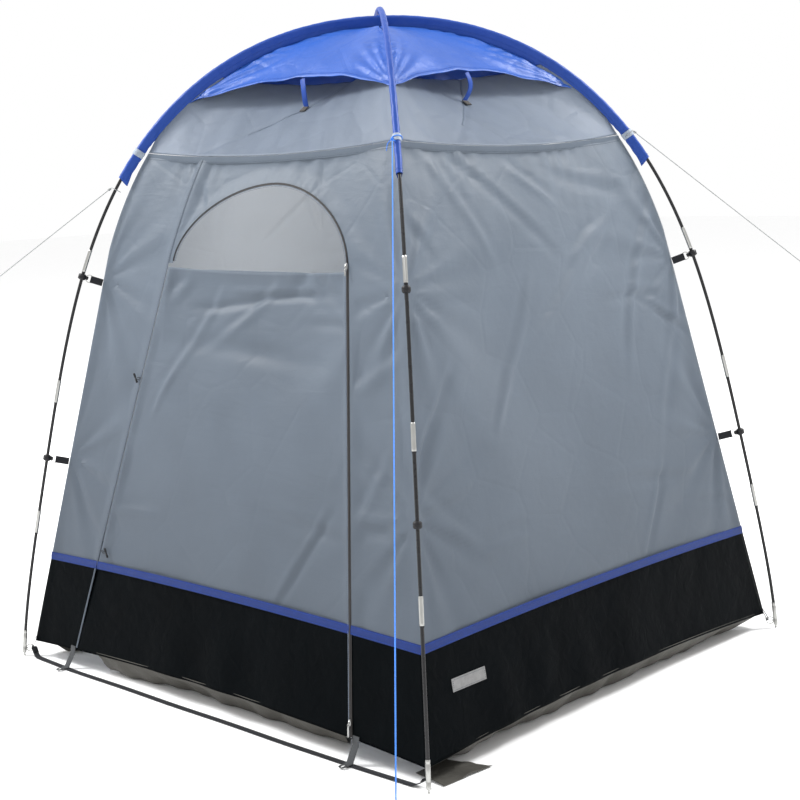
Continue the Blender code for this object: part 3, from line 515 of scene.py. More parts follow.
def lathe_parts(centre, axis, profile, sides=20):
    """A turned solid from (distance along the axis, radius) pairs."""
    axis = Vector(axis).normalized()
    a = axis.orthogonal().normalized()
    b = axis.cross(a)
    rings = []
    for along, radius in profile:
        turns = [2 * math.pi * k / sides for k in range(sides)]
        rings.append([centre + axis * along + (a * math.cos(t) + b * math.sin(t)) * radius for t in turns])
    return sweep("", rings)


def block_parts(centre, a, b, c):
    """A box with half-axes a, b and c, its edges eased."""
    points, faces = [], []
    rings = []
    for level, share in ((-1, 0.86), (-0.86, 1), (0.86, 1), (1, 0.86)):
        ring = []
        for x, y in ((1, 0.8), (0.8, 1), (-0.8, 1), (-1, 0.8), (-1, -0.8), (-0.8, -1), (0.8, -1), (1, -0.8)):
            ring.append(centre + a * x * share + b * y * share + c * level)
        rings.append(ring)
    points, faces = sweep("", rings)
    return points, faces


def stitch_parts(path, normals, pitch=0.0055, length=0.0034, wide=0.0011, high=0.0006):
    """Short raised threads along a path that lies on cloth."""
    path = [Vector(p) for p in path]
    reach = [0.0]
    for a, b in zip(path, path[1:]):
        reach.append(reach[-1] + (b - a).length)
    parts = []
    count = int(reach[-1] / pitch)
    spots = np.array([list(p) for p in path])
    faces = np.array([list(n) for n in normals])
    for k in range(count):
        low, high_end = k * pitch + 0.001, k * pitch + 0.001 + length
        ends = [Vector([np.interp(s, reach, spots[:, i]) for i in range(3)]) for s in (low, high_end)]
        normal = Vector([np.interp(low, reach, faces[:, i]) for i in range(3)]).normalized()
        along = (ends[1] - ends[0]).normalized()
        side = along.cross(normal).normalized() * wide / 2
        base, top = -normal * high * 0.5, normal * high
        middle = (ends[0] + ends[1]) / 2 + normal * high * 1.5
        points = [ends[0] + base + side, ends[0] + base - side, ends[1] + base - side, ends[1] + base + side]
        points += [middle + side * 0.7, middle - side * 0.7]
        cells = [[0, 1, 2, 3], [0, 4, 5, 1], [3, 2, 5, 4], [0, 3, 4], [1, 5, 2]]
        parts.append((points, cells))
    return parts


# ---- the walls' surfaces
Z_FOOT, Z_EAVE, Z_HEM = WALL_FOOT, HEIGHT - EAVE_BELOW_CROWN, HEIGHT - HEM_BELOW_CROWN
Z_FACET = Z_EAVE - FACET_BELOW_EAVE
Z_FOLD, Z_ARCH = Z_FACET - FOLD_BELOW_FACET, Z_EAVE - ARCH_BELOW_EAVE
R_FOOT, R_FACET = radius_at(Z_FOOT) - WALL_FOOT_GAP, radius_at(Z_FACET) - WALL_GAP
PANEL_START = s_at_inset(Z_EAVE, PANEL_INSET)
EAVE_GAP = radius_at(Z_EAVE) - inset(PANEL_START, PANEL_INSET)[0]


def wall_half(z):
    if z <= Z_FACET:
        r = R_FOOT + (R_FACET - R_FOOT) * (z - Z_FOOT) / (Z_FACET - Z_FOOT)
    else:
        share = (z - Z_FACET) / (Z_EAVE - Z_FACET)
        r = radius_at(z) - WALL_GAP - (EAVE_GAP - WALL_GAP) * share
    return r / ROOT2


def wall_out(z):
    slope = (wall_half(z + 0.01) - wall_half(z - 0.01)) / 0.02
    return Vector((0, -1, -slope)).normalized()


def skirt_edge(t):
    return Z_FOOT + SKIRT_RISE * (1 - t * t)


def stripe_line(t):
    return STRIPE_AT + STRIPE_RISE * (0.5 - t * t)


def eave_line(t):
    return Z_EAVE - EAVE_SAG * (1 - t * t)


def between(z, low, high):
    return low + (high - low) * (z - Z_FOOT) / (Z_FOLD - Z_FOOT)


def seam_x(z):
    return between(z, SEAM_IN_LOW - wall_half(Z_FOOT), SEAM_IN_FOLD - wall_half(Z_FOLD))


def zip_x(z):
    return between(z, wall_half(Z_FOOT) - ZIP_IN_LOW, wall_half(Z_FOLD) - ZIP_IN_FOLD)


def on_wall(x, z, off=0.0):
    return Vector((x, -wall_half(z), z)) + wall_out(z) * off


def arch(shrink, count=28):
    left, right = seam_x(Z_FOLD) + 0.022 + shrink, zip_x(Z_FOLD) - shrink
    top, rise = zip_x(Z_FOLD) - ARCH_IN, Z_ARCH - Z_FOLD - shrink
    points = []
    for k in range(count + 1):
        c, s = math.cos(math.pi * k / count), math.sin(math.pi * k / count)
        reach = right - top if c > 0 else top - left
        x = top + math.copysign(reach * abs(c) ** (2 / ARCH_ROUND), c)
        points.append((x, Z_FOLD + rise * abs(s) ** (2 / ARCH_ROUND)))
    return points


def smoothstep(x):
    x = np.clip(x, 0, 1)
    return x * x * (3 - 2 * x)


# ---- how tensioned cloth lies: folds that fan from the clips, packing creases and soft dents
CLIP_Z = [pole_point(CLIP_LOW)[1] + 0.0, pole_point(CLIP_HIGH)[1] - 0.004]


def relief(x, z, half, seed, creases=16, strength=1.0):
    """How far the cloth stands off its plane, in metres, at points x across and z up on a wall."""
    rng = np.random.default_rng(seed)
    t = x / half
    off = -0.007 * (1 - t * t) * smoothstep((z - 0.05) / 0.3)
    off += 0.0022 * np.sin(x * 4.1 + seed) * np.sin(z * 5.3 + 2 * seed) + 0.0012 * np.sin(x * 9.7
        - z * 7.9 + seed)
    for side in (-1, 1):
        for cz in CLIP_Z:
            dx, dz = (x - side * wall_half(cz)) * -side, z - cz
            away, angle = np.hypot(dx, dz), np.arctan2(dz, dx)
            fan = np.cos(angle * 11 + seed + cz * 9) + 0.5 * np.cos(angle * 19 + 2 * seed)
            off += 0.0055 * fan * away / (away + 0.05) * np.exp(-away / 0.24)
    drop = np.maximum(eave_line(0) - z, 0)
    pleats = np.sin(x * 88 + 2.2 * np.sin(x * 9 + seed) + 9 * drop) * (0.5 + 0.5 * np.sin(x * 13 + 3 * seed))
    off += 0.0026 * pleats * np.exp(-drop / 0.085) * smoothstep(drop / 0.02)
    for _ in range(creases):
        x0, z0 = rng.uniform(-0.75, 0.75), rng.uniform(0.45, 1.58)
        angle = rng.choice([rng.uniform(-1.1, -0.5), rng.uniform(-0.25, 0.25), rng.uniform(0.5, 1.1)])
        length, wide = rng.uniform(0.08, 0.30), rng.uniform(0.010, 0.020)
        height, bend = rng.uniform(0.0022, 0.0052) * rng.choice([-1, 1]), rng.uniform(-0.5, 0.5)
        c, s = math.cos(angle), math.sin(angle)
        along, across = (x - x0) * c + (z - z0) * s, (z - z0) * c - (x - x0) * s
        across = across + bend * along**2
        fold = across / wide
        off += height * (np.exp(-(fold**2))
            - 0.6 * np.exp(-((fold - 1.6) ** 2))) * np.exp(-((along / length) ** 4))
    edge = smoothstep((1 - np.abs(t)) / 0.06) * smoothstep((eave_line(t) - z) / 0.03)
    return off * edge * strength


def wall_sheet(name, low, high, x_low, x_high, across, up, turn, mats, seed=0, extra=None,
    strength=1.5, creases=16,
               calm=None, thick=0.0009):
    """A piece of wall between the lines low(t) and high(t), and between the sides x_low(z) and x_high(z)."""
    low = low if callable(low) else (lambda t, z=low: z)
    high = high if callable(high) else (lambda t, z=high: z)
    xs, zs = np.zeros((up + 1, across + 1)), np.zeros((up + 1, across + 1))
    for j in range(up + 1):
        for i in range(across + 1):
            guess = low(0) + (high(0) - low(0)) * j / up
            x = x_low(guess) + (x_high(guess) - x_low(guess)) * i / across
            t = max(-1, min(1, x / wall_half(guess)))
            z = low(t) + (high(t) - low(t)) * j / up
            xs[j, i], zs[j, i] = x_low(z) + (x_high(z) - x_low(z)) * i / across, z
    halves = np.vectorize(wall_half)(zs)
    proud = relief(xs, zs, halves, seed, creases, strength) * (calm(xs, zs) if calm else 1)
    if extra is not None:
        proud = proud + extra(xs, zs)

    def point(u, v):
        j, i = round(v * up), round(u * across)
        spot = on_wall(xs[j, i], zs[j, i], proud[j, i])
        return turned(spot, turn)

    return grid_cloth(name, point, across, up, mats, thick)


def corner_gap(face):
    return GAP if face in ("front", "back") else 2 * SKIN + GAP


def wall_low(t):
    return stripe_line(t) + 0.0003


def skirt_top(t):
    return stripe_line(t) - 0.0003


DENSITY = 1.0
WIDE, TALL = round(132 * DENSITY), round(104 * DENSITY)

for index, (face, turn) in enumerate(FACES.items()):
    if face == "front":
        continue
    gap = corner_gap(face)
    left, right = (lambda z, g=gap: g - wall_half(z)), (lambda z, g=gap: wall_half(z) - g)
    wall, area = wall_sheet(f"wall_{face}_cloth", wall_low, eave_line, left, right, WIDE, TALL, turn,
        (GREY, GREY_IN),
                            seed=index + 3, creases=22)
    finished(wall, "tent", "wall_grey", f"wall_{face}")
    2 * wall_half(STRIPE_AT)
    skirt, area = wall_sheet(f"skirt_{face}_cloth", skirt_edge, skirt_top, left, right, WIDE,
        round(26 * DENSITY), turn,
                             (BLACK, BLACK), seed=index + 13, creases=0, strength=0.8,
                             extra=lambda x, z, k=index: 0.0024 * np.sin(x * 15
                                 + 6 * np.sin(x * 3.1 + k) + 3 * z) *
                             smoothstep((STRIPE_AT - z) / 0.22)
                             * smoothstep((wall_half(0.1) - abs(x)) / 0.06))
    finished(skirt, "tent", "skirt_black", f"skirt_{face}")
    2 * wall_half(Z_FOOT)


# ---- door wall: the wall with its doorway, the two ends of the skirt and the door leaf
def prism(outline, low, high):
    bm = bmesh.new()
    face = bm.faces.new([bm.verts.new((x, low, z)) for x, z in outline])
    drawn = bmesh.ops.extrude_face_region(bm, geom=[face])["geom"]
    bmesh.ops.translate(bm, vec=(0, high - low, 0),
        verts=[v for v in drawn if isinstance(v, bmesh.types.BMVert)])
    bmesh.ops.recalc_face_normals(bm, faces=bm.faces)
    mesh = bpy.data.meshes.new("doorway")
    bm.to_mesh(mesh)
    bm.free()
    obj = bpy.data.objects.new("doorway", mesh)
    bpy.context.scene.collection.objects.link(obj)
    return obj


def cut(obj, cutter):
    step = obj.modifiers.new("doorway", "BOOLEAN")
    step.operation, step.solver, step.object = "DIFFERENCE", "MANIFOLD", cutter
    applied(obj)
    bpy.data.objects.remove(cutter)
    obj.data.shade_smooth()
    obj.data.set_sharp_from_angle(angle=math.radians(50))


def beside_openings(x, z):
    """1 on the open cloth, falling to 0 along the zip, the arch and the hinge seam, which hold it flat."""
    curve = np.array(arch(0.0, 40))
    reach = np.sqrt((x[..., None] - curve[:, 0]) ** 2 + (z[..., None] - curve[:, 1]) ** 2).min(axis=-1)
    side = np.where(z < Z_FOLD, np.abs(x - zip_x(z)), np.abs(x - zip_x(z)) + (z - Z_FOLD))
    nearest = np.minimum(np.minimum(reach, side), np.abs(x - seam_x(z)))
    return smoothstep((nearest - 0.004) / 0.045)


def in_door(x, z):
    return smoothstep((x - seam_x(z)) / 0.04) * smoothstep((zip_x(z) - x) / 0.035)


def pucker(x, z):
    """Small ripples where the zip gathers the cloth."""
    side = np.abs(x - zip_x(z))
    return 0.0010 * np.sin(z * 120 + 4 * np.sin(z * 17)) * np.exp(-side / 0.03) * smoothstep((side
            - 0.006) / 0.02) * (z < Z_FOLD)


front_left, front_right = (lambda z: GAP - wall_half(z)), (lambda z: wall_half(z) - GAP)
wall, area = wall_sheet("wall_front_cloth", wall_low, eave_line, front_left, front_right,
    round(150 * DENSITY), TALL, 0,
                        (GREY, GREY_IN), seed=8, creases=12, extra=pucker, calm=beside_openings)
SIDE = ZIP_W / 2 - 0.002
low = STRIPE_AT - 0.1
outline = [(seam_x(low) - 0.001, low), (zip_x(low) + SIDE, low), (zip_x(Z_FOLD) + SIDE, Z_FOLD)]
outline += arch(-SIDE, 56)[1:-1]
outline += [(arch(-SIDE)[-1][0], Z_FOLD + 0.012), (seam_x(Z_FOLD) - 0.001, Z_FOLD + 0.012)]
cut(wall, prism(outline, -HALF_DIAGONAL, 0))
finished(wall, "tent", "wall_grey", "wall_front")
2 * wall_half(STRIPE_AT)

for side, x_low, x_high in (
    ("left", front_left, lambda z: seam_x(z) - 0.001),
    ("right", lambda z: zip_x(z) + SIDE, front_right),
):
    piece, area = wall_sheet(f"skirt_front_{side}_cloth", skirt_edge, skirt_top, x_low, x_high, 26, 24, 0,
                             (BLACK, BLACK), seed=5, creases=0, strength=0.4)
    finished(piece, "tent", "skirt_black", f"skirt_front_{side}")


def door_folds(x, z):
    """The top of the door is slack: it falls inwards under its edge in long sagging folds."""
    left, right = seam_x(Z_FOLD), zip_x(Z_FOLD)
    u = np.clip((x - left) / (right - left), 0, 1)
    span = np.sin(np.pi * u) ** 0.6
    below = np.maximum(Z_FOLD - z, 0)
    deep = 0.058 + 0.032 * span + 0.008 * np.sin(u * 9 + 1)
    first = (below / deep) * np.exp(1 - below / deep)
    middle = 0.118 - 0.050 * u + 0.012 * np.sin(u * 7)
    second = np.exp(-(((below - middle) / 0.014) ** 2)) * smoothstep((u
            - 0.08) / 0.2) * smoothstep((0.97 - u) / 0.2)
    third = np.exp(-(((below - 0.22 - 0.05 * u) / 0.030) ** 2)) * np.sin(np.pi * u)
    fourth = np.exp(-(((below - 0.075 + 0.030 * u) / 0.010) ** 2)) * smoothstep((u
            - 0.25) / 0.2) * smoothstep((0.9 - u) / 0.2)
    folds = -0.024 * span * first - 0.010 * second - 0.009 * third + 0.005 * fourth
    crumple = np.sin(u * 46 + below
        * 60) * np.exp(-((u - 0.06) ** 2) / 0.006) * np.exp(-(((below - 0.06) / 0.05) ** 2))
    crumple += np.sin(u * 38
        - below * 75) * np.exp(-((u - 0.86) ** 2) / 0.010) * np.exp(-(((below - 0.05) / 0.04) ** 2))
    long = 0.0035 * np.sin(x * 6 + z * 3.2) * smoothstep(below / 0.2) * smoothstep((z - 0.45) / 0.2)
    dents = 0.0025 * np.sin(z * 19 + 4 * np.sin(x * 7)) * np.exp(-((z - 1.0) ** 2) / 0.03)
    return (folds + 0.0036 * crumple + long + dents) * in_door(x, z)


def door_top(t):
    u = (t * wall_half(Z_FOLD) - seam_x(Z_FOLD)) / (zip_x(Z_FOLD) - seam_x(Z_FOLD))
    return Z_FOLD - 0.010 * math.sin(math.pi * min(max(u, 0), 1))


def door_left(z):
    return seam_x(z) + 0.001


def door_right(z):
    return zip_x(z) - SIDE


door, area = wall_sheet("door_cloth", wall_low, door_top, door_left, door_right, round(124 * DENSITY),
                        round(120 * DENSITY), 0, (GREY, GREY_IN), seed=4, creases=20, strength=1.3,
                        extra=door_folds, calm=in_door)
finished(door, "door", "wall_grey", "door_panel")
piece, area = wall_sheet("door_skirt_cloth", skirt_edge, skirt_top, door_left, door_right,
    round(90 * DENSITY), 26, 0,
                         (BLACK, BLACK), seed=6, creases=0, strength=0.8,
                         extra=lambda x, z: 0.004 * np.sin(x * 17 + 2 * np.sin(x * 6))
                         * smoothstep((0.30 - z) / 0.2) *
                         smoothstep((x - seam_x(0.1)) / 0.06) * smoothstep((zip_x(0.1) - x) / 0.06))
finished(piece, "door", "skirt_black", "door_skirt")


# ---- window flap, hanging inside the door
def behind_door(x, z):
    spot = (np.array([[x]]), np.array([[z]]))
    return float((relief(*spot, np.array([[wall_half(z)]]), 4, 20, 1.3) * in_door(*spot)
            + door_folds(*spot))[0, 0])


def flap_point(u, v):
    outline = arch(FLAP_CLEAR + 0.002, 80)
    left, right = outline[-1][0], outline[0][0]
    x = left + (right - left) * u
    tops = sorted(outline)
    depth = float(np.interp(x, [p[0] for p in tops], [p[1] for p in tops])) - Z_FOLD
    z = Z_FOLD - 0.004 - depth * v
    ripple = 0.0012 * math.sin(x * 31 + 2 * math.sin(x * 9)) * v
    return on_wall(x, z, min(behind_door(x, z), 0) - 0.0045 - ripple - 0.004 * v)


flap, area = grid_cloth("window_flap_cloth", flap_point, 60, 20, (GREY_IN, GREY), 0.0009)
finished(flap, "window_flap", "wall_grey", "window_flap")


# ---- stripe and eave seams with their stitching
def line_on_wall(line, x_from, x_to, off, count=60):
    points, normals = [], []
    for k in range(count + 1):
        x = x_from + (x_to - x_from) * k / count
        z = line(x / wall_half(line(0)))
        points.append(on_wall(x, z, off))
        normals.append(wall_out(z))
    return points, normals


def stripe_parts(x_from, x_to, count):
    """A tape lying on a wall, bowed out a little along its middle."""
    rings = []
    for k in range(count + 1):
        x = x_from + (x_to - x_from) * k / count
        z = stripe_line(x / wall_half(STRIPE_AT))
        pucker = 0.0005 * math.sin(x * 70 + 3 * math.sin(x * 13))
        ring = []
        for level, off in ((-0.5, -0.0002), (-0.49, 0.0012), (0, 0.0022 + pucker), (0.49, 0.0012),
                (0.5, -0.0002), (0, -0.0006)):
            ring.append(on_wall(x, z + level * STRIPE_H, off))
        rings.append(ring)
    return sweep("", rings)


def turned_parts(parts, turn):
    return [([turned(p, turn) for p in points], cells) for points, cells in parts]


parts, threads = [], []
for face, turn in FACES.items():
    half = wall_half(STRIPE_AT)
    spans = [(-half, half, 60)] if face != "front" else [(-half, seam_x(STRIPE_AT) - 0.002, 12),
        (zip_x(STRIPE_AT) + SIDE, half, 14)]
    for x_from, x_to, count in spans:
        parts += turned_parts([stripe_parts(x_from, x_to, count)], turn)
        for shift in (-0.36, 0.36):
            path = line_on_wall(lambda t: stripe_line(t) + shift * STRIPE_H, x_from, x_to, 0.0017, count)
            threads += turned_parts(stitch_parts(*path), turn)
finished(joined("stripe_tape", parts), "tent", "stripe_blue", "stripe_walls", mats=(STRIPE,))
finished(joined("stripe_stitches", threads), "tent", "stripe_blue", mats=(THREAD_BLUE,))
parts, threads = [stripe_parts(door_left(STRIPE_AT) + 0.001, door_right(STRIPE_AT), 44)], []
for shift in (-0.36, 0.36):
    path = line_on_wall(lambda t: stripe_line(t) + shift * STRIPE_H, door_left(STRIPE_AT) + 0.001,
        door_right(STRIPE_AT), 0.0017)
    threads += stitch_parts(*path)
finished(joined("stripe_door_tape", parts), "door", "stripe_blue", "stripe_door", mats=(STRIPE,))
finished(joined("stripe_door_stitches", threads), "door", "stripe_blue", mats=(THREAD_BLUE,))

welts, threads = [], []
for face, turn in FACES.items():
    half = wall_half(Z_EAVE)
    for down in (0.004, 0.017):
        path = line_on_wall(lambda t: eave_line(t) - down, -half + 0.004, half - 0.004, 0.0009)
        threads += turned_parts(stitch_parts(*path, wide=0.0010, high=0.0004), turn)
    path, _ = line_on_wall(lambda t: eave_line(t) - 0.0105, -half + 0.002, half - 0.002, 0.0)
    welts += turned_parts([ribbon_parts(path, (0, 0, 1), 0.020, 0.0006)], turn)
finished(joined("eave_welts", welts), "tent", "wall_grey", mats=(GREY,))
finished(joined("eave_stitches", threads), "tent", "wall_grey", mats=(THREAD,))

# the hinge seam and the seam that carries on from it to the eave
seam, threads = [], []
heights = np.linspace(Z_FOOT + 0.02, eave_line(0.6) - 0.012, 60)
path = [on_wall(seam_x(z) - 0.0052, z, 0.0006) for z in heights]
seam.append(ribbon_parts(path, (1, 0, 0.24), 0.0075, 0.0012))
for side in (-0.0084, -0.0018):
    path = [on_wall(seam_x(z) + side - 0.0002, z, 0.0009) for z in heights]
    threads += stitch_parts(path, [wall_out(z) for z in heights], pitch=0.006, wide=0.0009)
finished(joined("hinge_seam", seam), "tent", "wall_grey", mats=(GREY,))
finished(joined("hinge_seam_stitches", threads), "tent", "wall_grey", mats=(THREAD,))


# ---- sleeves: a tube of cloth with its seam allowance, oblique at the ends
def fin_at(s):
    """How far the seam allowance stands in from the sleeve: narrow at the band, wider over the canopy."""
    return SLEEVE_FIN + 0.012 * float(smoothstep((s - BAND_AT - 0.02) / 0.20))


def teardrop(centre, out, side, radius, fin, thin=0.55, sides=26, ruffle=None):
    ring = []
    for k in range(sides):
        angle = 2 * math.pi * k / sides
        c, s = math.cos(angle), math.sin(angle)
        back = max(0.0, -c)
        swell = ruffle(angle) if ruffle else 0.0
        ring.append(centre + out * ((radius + swell) * c - fin * back**2)
            + side * (radius + swell) * s * (1 - thin * back))
    return ring


def sleeve_cloth(name, corner, lifted, slack, short):
    out_dir = corner_out(corner)
    side = Vector((-out_dir.y, out_dir.x, 0))
    stations = list(np.linspace(SLEEVE_END + short, HALF_POLE, round(150 * DENSITY)))
    outer, inner = [], []
    for sign in (1, -1):
        run = stations if sign == 1 else stations[:-1][::-1]
        for s in run:
            (r, z), (across, up) = pole_point(s, lifted), pole_lean(s, lifted)
            centre = out_dir * r * sign + UP * z
            along, out = out_dir * across * sign + UP * up, out_dir * up * sign - UP * across
            fade = 1 - lifted_by(s) / CROSS_STEP if lifted else 1
            start = max(0.0, 1 - (s - SLEEVE_END - short) / 0.030)
            fin = (fin_at(s) + 0.004 * start) * fade + 0.0005

            def ruffle(angle, s=s, sign=sign):
                wave = 0.0007 * math.sin(s * 150 * slack + 2.0 * math.sin(angle) + 3 * math.sin(s * 21)
                    + sign)
                wave += 0.0005 * math.sin(s * 61 + angle * 3 + sign)
                return wave * (0.4 + 0.6 * max(0, -math.cos(angle + 0.4)))

            ring = teardrop(centre, out, side, SLEEVE_BORE / 2 + SLEEVE_WALL - 0.0013, fin, ruffle=ruffle)
            for k, point in enumerate(ring):
                back = max(0.0, -math.cos(2 * math.pi * k / len(ring)))
                ring[k] = point - along * 0.012 * start * back * fade
            outer.append(ring)
            inner.append(teardrop(centre, out, side, SLEEVE_BORE / 2, 0, 0))
    n = len(outer[0])
    points = [p for ring in outer + inner for p in ring]
    count = len(outer)
    faces = []
    for base in (0, count * n):
        for i in range(count - 1):
            for j in range(n):
                k = (j + 1) % n
                faces.append([base + i * n + j, base + i * n + k, base + (i + 1) * n + k,
                        base + (i + 1) * n + j])
    last = (count - 1) * n
    for j in range(n):
        k = (j + 1) % n
        faces.append([k, j, count * n + j, count * n + k])
        faces.append([last + j, last + k, count * n + last + k, count * n + last + j])
    obj = mesh_object(name, points, faces, 70)
    finished(obj, "tent", "sleeve_blue", name.replace("_cloth", ""), mats=(SHADED_SLEEVE_BLUE,))
    threads = []
    for sign in (1, -1):
        for edge in (-1, 1):
            path, normals = [], []
            for s in np.linspace(SLEEVE_END + short + 0.004, HALF_POLE - 0.10, 90):
                (r, z), (across, up) = pole_point(s, lifted), pole_lean(s, lifted)
                out = out_dir * up * sign - UP * across
                fin = SLEEVE_FIN * (1 - lifted_by(s) / CROSS_STEP if lifted else 1)
                path.append(out_dir * r * sign + UP * z - out * (0.0095 + fin * 0.55) + side * edge * 0.0057)
                normals.append(side * edge)
            threads += stitch_parts(path, normals)
        (r, z), (across, up) = pole_point(SLEEVE_END + short + 0.012,
            lifted), pole_lean(SLEEVE_END + short + 0.012, lifted)
        out, along = out_dir * up * sign - UP * across, out_dir * across * sign + UP * up
        hem = teardrop(out_dir * r * sign + UP * z, out, side, SLEEVE_BORE / 2 + SLEEVE_WALL + 0.0002,
            SLEEVE_FIN)
        for k, point in enumerate(hem):
            hem[k] = point - along * 0.012 * max(0.0, -math.cos(2 * math.pi * k / len(hem)))
        middle = sum(hem, Vector()) / len(hem)
        threads += stitch_parts(hem + hem[:1], [p - middle for p in hem + hem[:1]])
    finished(joined(name.replace("_cloth", "_stitches"), threads), "tent", "sleeve_blue", mats=(THREAD_BLUE,))


sleeve_cloth("sleeve_front_back_cloth", "front", True, 1.0, 0.010)
sleeve_cloth("sleeve_left_right_cloth", "right", False, 1.15, 0.024)

for corner in CORNERS:
    lifted = corner in ("front", "back")
    out_dir = corner_out(corner)
    side = Vector((-out_dir.y, out_dir.x, 0))
    rings = []
    for s, extra in ((-0.5, -0.001), (-0.47, 0.0004), (0, 0.0006), (0.47, 0.0004), (0.5, -0.001)):
        (r, z), (across, up) = pole_point(BAND_AT + s * BAND_LEN,
            lifted), pole_lean(BAND_AT + s * BAND_LEN, lifted)
        out = out_dir * up - UP * across
        radius = SLEEVE_BORE / 2 + BAND_WALL + extra
        rings.append(teardrop(out_dir * r + UP * z, out, side, radius, SLEEVE_FIN - 0.001, 0.35))
    finished(joined(f"sleeve_band_{corner}", [sweep("", rings)]), "tent", "sleeve_blue", mats=(BAND,))


# ---- canopy gores
def canopy_cloth(index, face, turn):
    gap = corner_gap(face)
    across, up = round(96 * DENSITY), round(72 * DENSITY)

    def point(u, v):
        t = 2 * u - 1
        start = s_at_inset(Z_HEM - HEM_DROP * t * t, CANOPY_INSET)
        run = HALF_POLE - 0.012 - start
        r, z = inset(start + run * v,
            CANOPY_INSET + 0.0070 * float(smoothstep((abs(t) - 0.86) / 0.12))
            * float(smoothstep((v - 0.05) / 0.2)))
        h = r / ROOT2
        edge = (1 - abs(t)) * h
        spot = Vector((t * (h - gap), -(h - CANOPY_SAG * (1 - v) * (1 - t * t)), z))
        (r0, z0), (r1, z1) = inset(start + run * max(v - 0.01, 0),
            CANOPY_INSET), inset(start + run * min(v + 0.01, 1), CANOPY_INSET)
        normal = Vector((0, -(z1 - z0), -(r1 - r0) / ROOT2)).normalized()
        if normal.z < 0:
            normal = -normal
        free = float(smoothstep(edge / 0.03)) * float(smoothstep((1 - v) / 0.12))
        gather = 0.0045 * math.sin(v * run * 95 + 2 * math.sin(v * 17 + index)
            + edge * 40) * math.exp(-edge / 0.045)
        tension = 0.0060 * math.cos(math.atan2(v, 1 - abs(t) + 0.02) * 17
            + index) * math.exp(-math.hypot(edge, v * run) / 0.14)
        soft = -0.010 * math.sin(math.pi * min(1, v * 1.05)) * (1 - t * t) ** 1.5
        dents = 0.0050 * math.sin(t * 9 + v * 6 + index * 2) * math.sin(v * 11 - t * 4) * (1 - v)
        droop = -0.0016 * math.sin(t * 21 + index) * math.exp(-v * run / 0.03)
        hem = 0.0009 if v * run < 0.020 else 0.0
        return turned(spot + normal * ((gather + tension + soft + dents + droop) * free + hem), turn)

    cloth, area = grid_cloth(f"canopy_{face}_cloth", point, across, up, (BLUE, BLUE_IN), 0.0009)
    finished(cloth, "tent", "canopy_blue", f"canopy_{face}")
    path, normals = [], []
    for k in range(81):
        u = 0.01 + 0.98 * k / 80
        start = s_at_inset(Z_HEM - HEM_DROP * (2 * u - 1) ** 2, CANOPY_INSET)
        v = 0.0185 / (HALF_POLE - 0.012 - start)
        here, ahead, aside = point(u, v), point(u, v + 0.01), point(min(u + 0.01, 1), v)
        normal = (aside - here).cross(ahead - here).normalized()
        path.append(here + normal * 0.0002)
        normals.append(normal)
    return stitch_parts(path, normals, wide=0.0014)


threads = []
for index, (face, turn) in enumerate(FACES.items()):
    threads += canopy_cloth(index, face, turn)
finished(joined("canopy_hem_stitches", threads), "tent", "canopy_blue", mats=(THREAD_BLUE,))


# ---- upper panels, which close the tent under the canopy's vents
def panel_mid(share):
    low_h, low_z = wall_half(Z_EAVE - EAVE_SAG), Z_EAVE - EAVE_SAG
    top_r, _ = inset(s_at_inset(HEIGHT - VENT_CORNER_BELOW_CROWN, PANEL_INSET), PANEL_INSET)
    top_h, top_z = top_r / ROOT2 - PANEL_SINK, HEIGHT - VENT_TOP_BELOW_CROWN
    return low_h + (top_h - low_h) * share, low_z + (top_z - low_z) * share


PANEL_END = s_at_inset(HEIGHT - VENT_CORNER_BELOW_CROWN, PANEL_INSET)


def panel_point(face, u, v, index=0, off=0.0):
    t = 2 * u - 1
    tuck = 0.0085 * float(smoothstep((abs(t) - 0.88) / 0.10)) * float(smoothstep(v / 0.2))
    r, z = inset(PANEL_START + (PANEL_END - PANEL_START) * v, PANEL_INSET - tuck)
    h, (mid_h, mid_z), bow = r / ROOT2, panel_mid(v), 1 - t * t
    spot = Vector((t * (h - corner_gap(face)), -(h + (mid_h - h) * bow), z + (mid_z - z) * bow + SKIN + GAP))
    low, high = [Vector((0, -reach, z)) for reach, z in (panel_mid(0), panel_mid(1))]
    slope = (high - low).normalized()
    normal = Vector((0, -slope.z, slope.y))
    free = float(smoothstep((1 - abs(t)) / 0.06)) * float(smoothstep(v / 0.08))
    seam = math.exp(-(((u - 0.5 - 0.42 * (v - STRUT_SEAT)) / 0.02) ** 2))
    waves = 0.0020 * math.sin(t * 14 + v * 5 + index) * math.sin(v * 4
        + index) + 0.0012 * math.sin(t * 31 + 9 * v)
    waves += -0.0035 * seam + 0.0015 * math.sin(t * 60 + 3 * math.sin(t * 7)) * math.exp(-v / 0.12)
    return spot + normal * (waves * free * 0.8 + off - 0.0004)


threads, tapes = [], []
for index, (face, turn) in enumerate(FACES.items()):
    cloth, area = grid_cloth(f"upper_panel_{face}_cloth", lambda u,
        v: turned(panel_point(face, u, v, index), turn),
                             round(96 * DENSITY), round(44 * DENSITY), (LIGHT, LIGHT_IN), 0.0009)
    finished(cloth, "tent", "eave_grey", f"upper_panel_{face}")
    path = [panel_point(face, 0.5 + 0.42 * (v - STRUT_SEAT), v, index, 0.0008)
        for v in np.linspace(0.30, 0.98, 30)]
    tapes += turned_parts([ribbon_parts(path, (1, 0, 0), 0.008, 0.0010)], turn)
finished(joined("panel_seam_tapes", tapes), "tent", "eave_grey", mats=(LIGHT,))


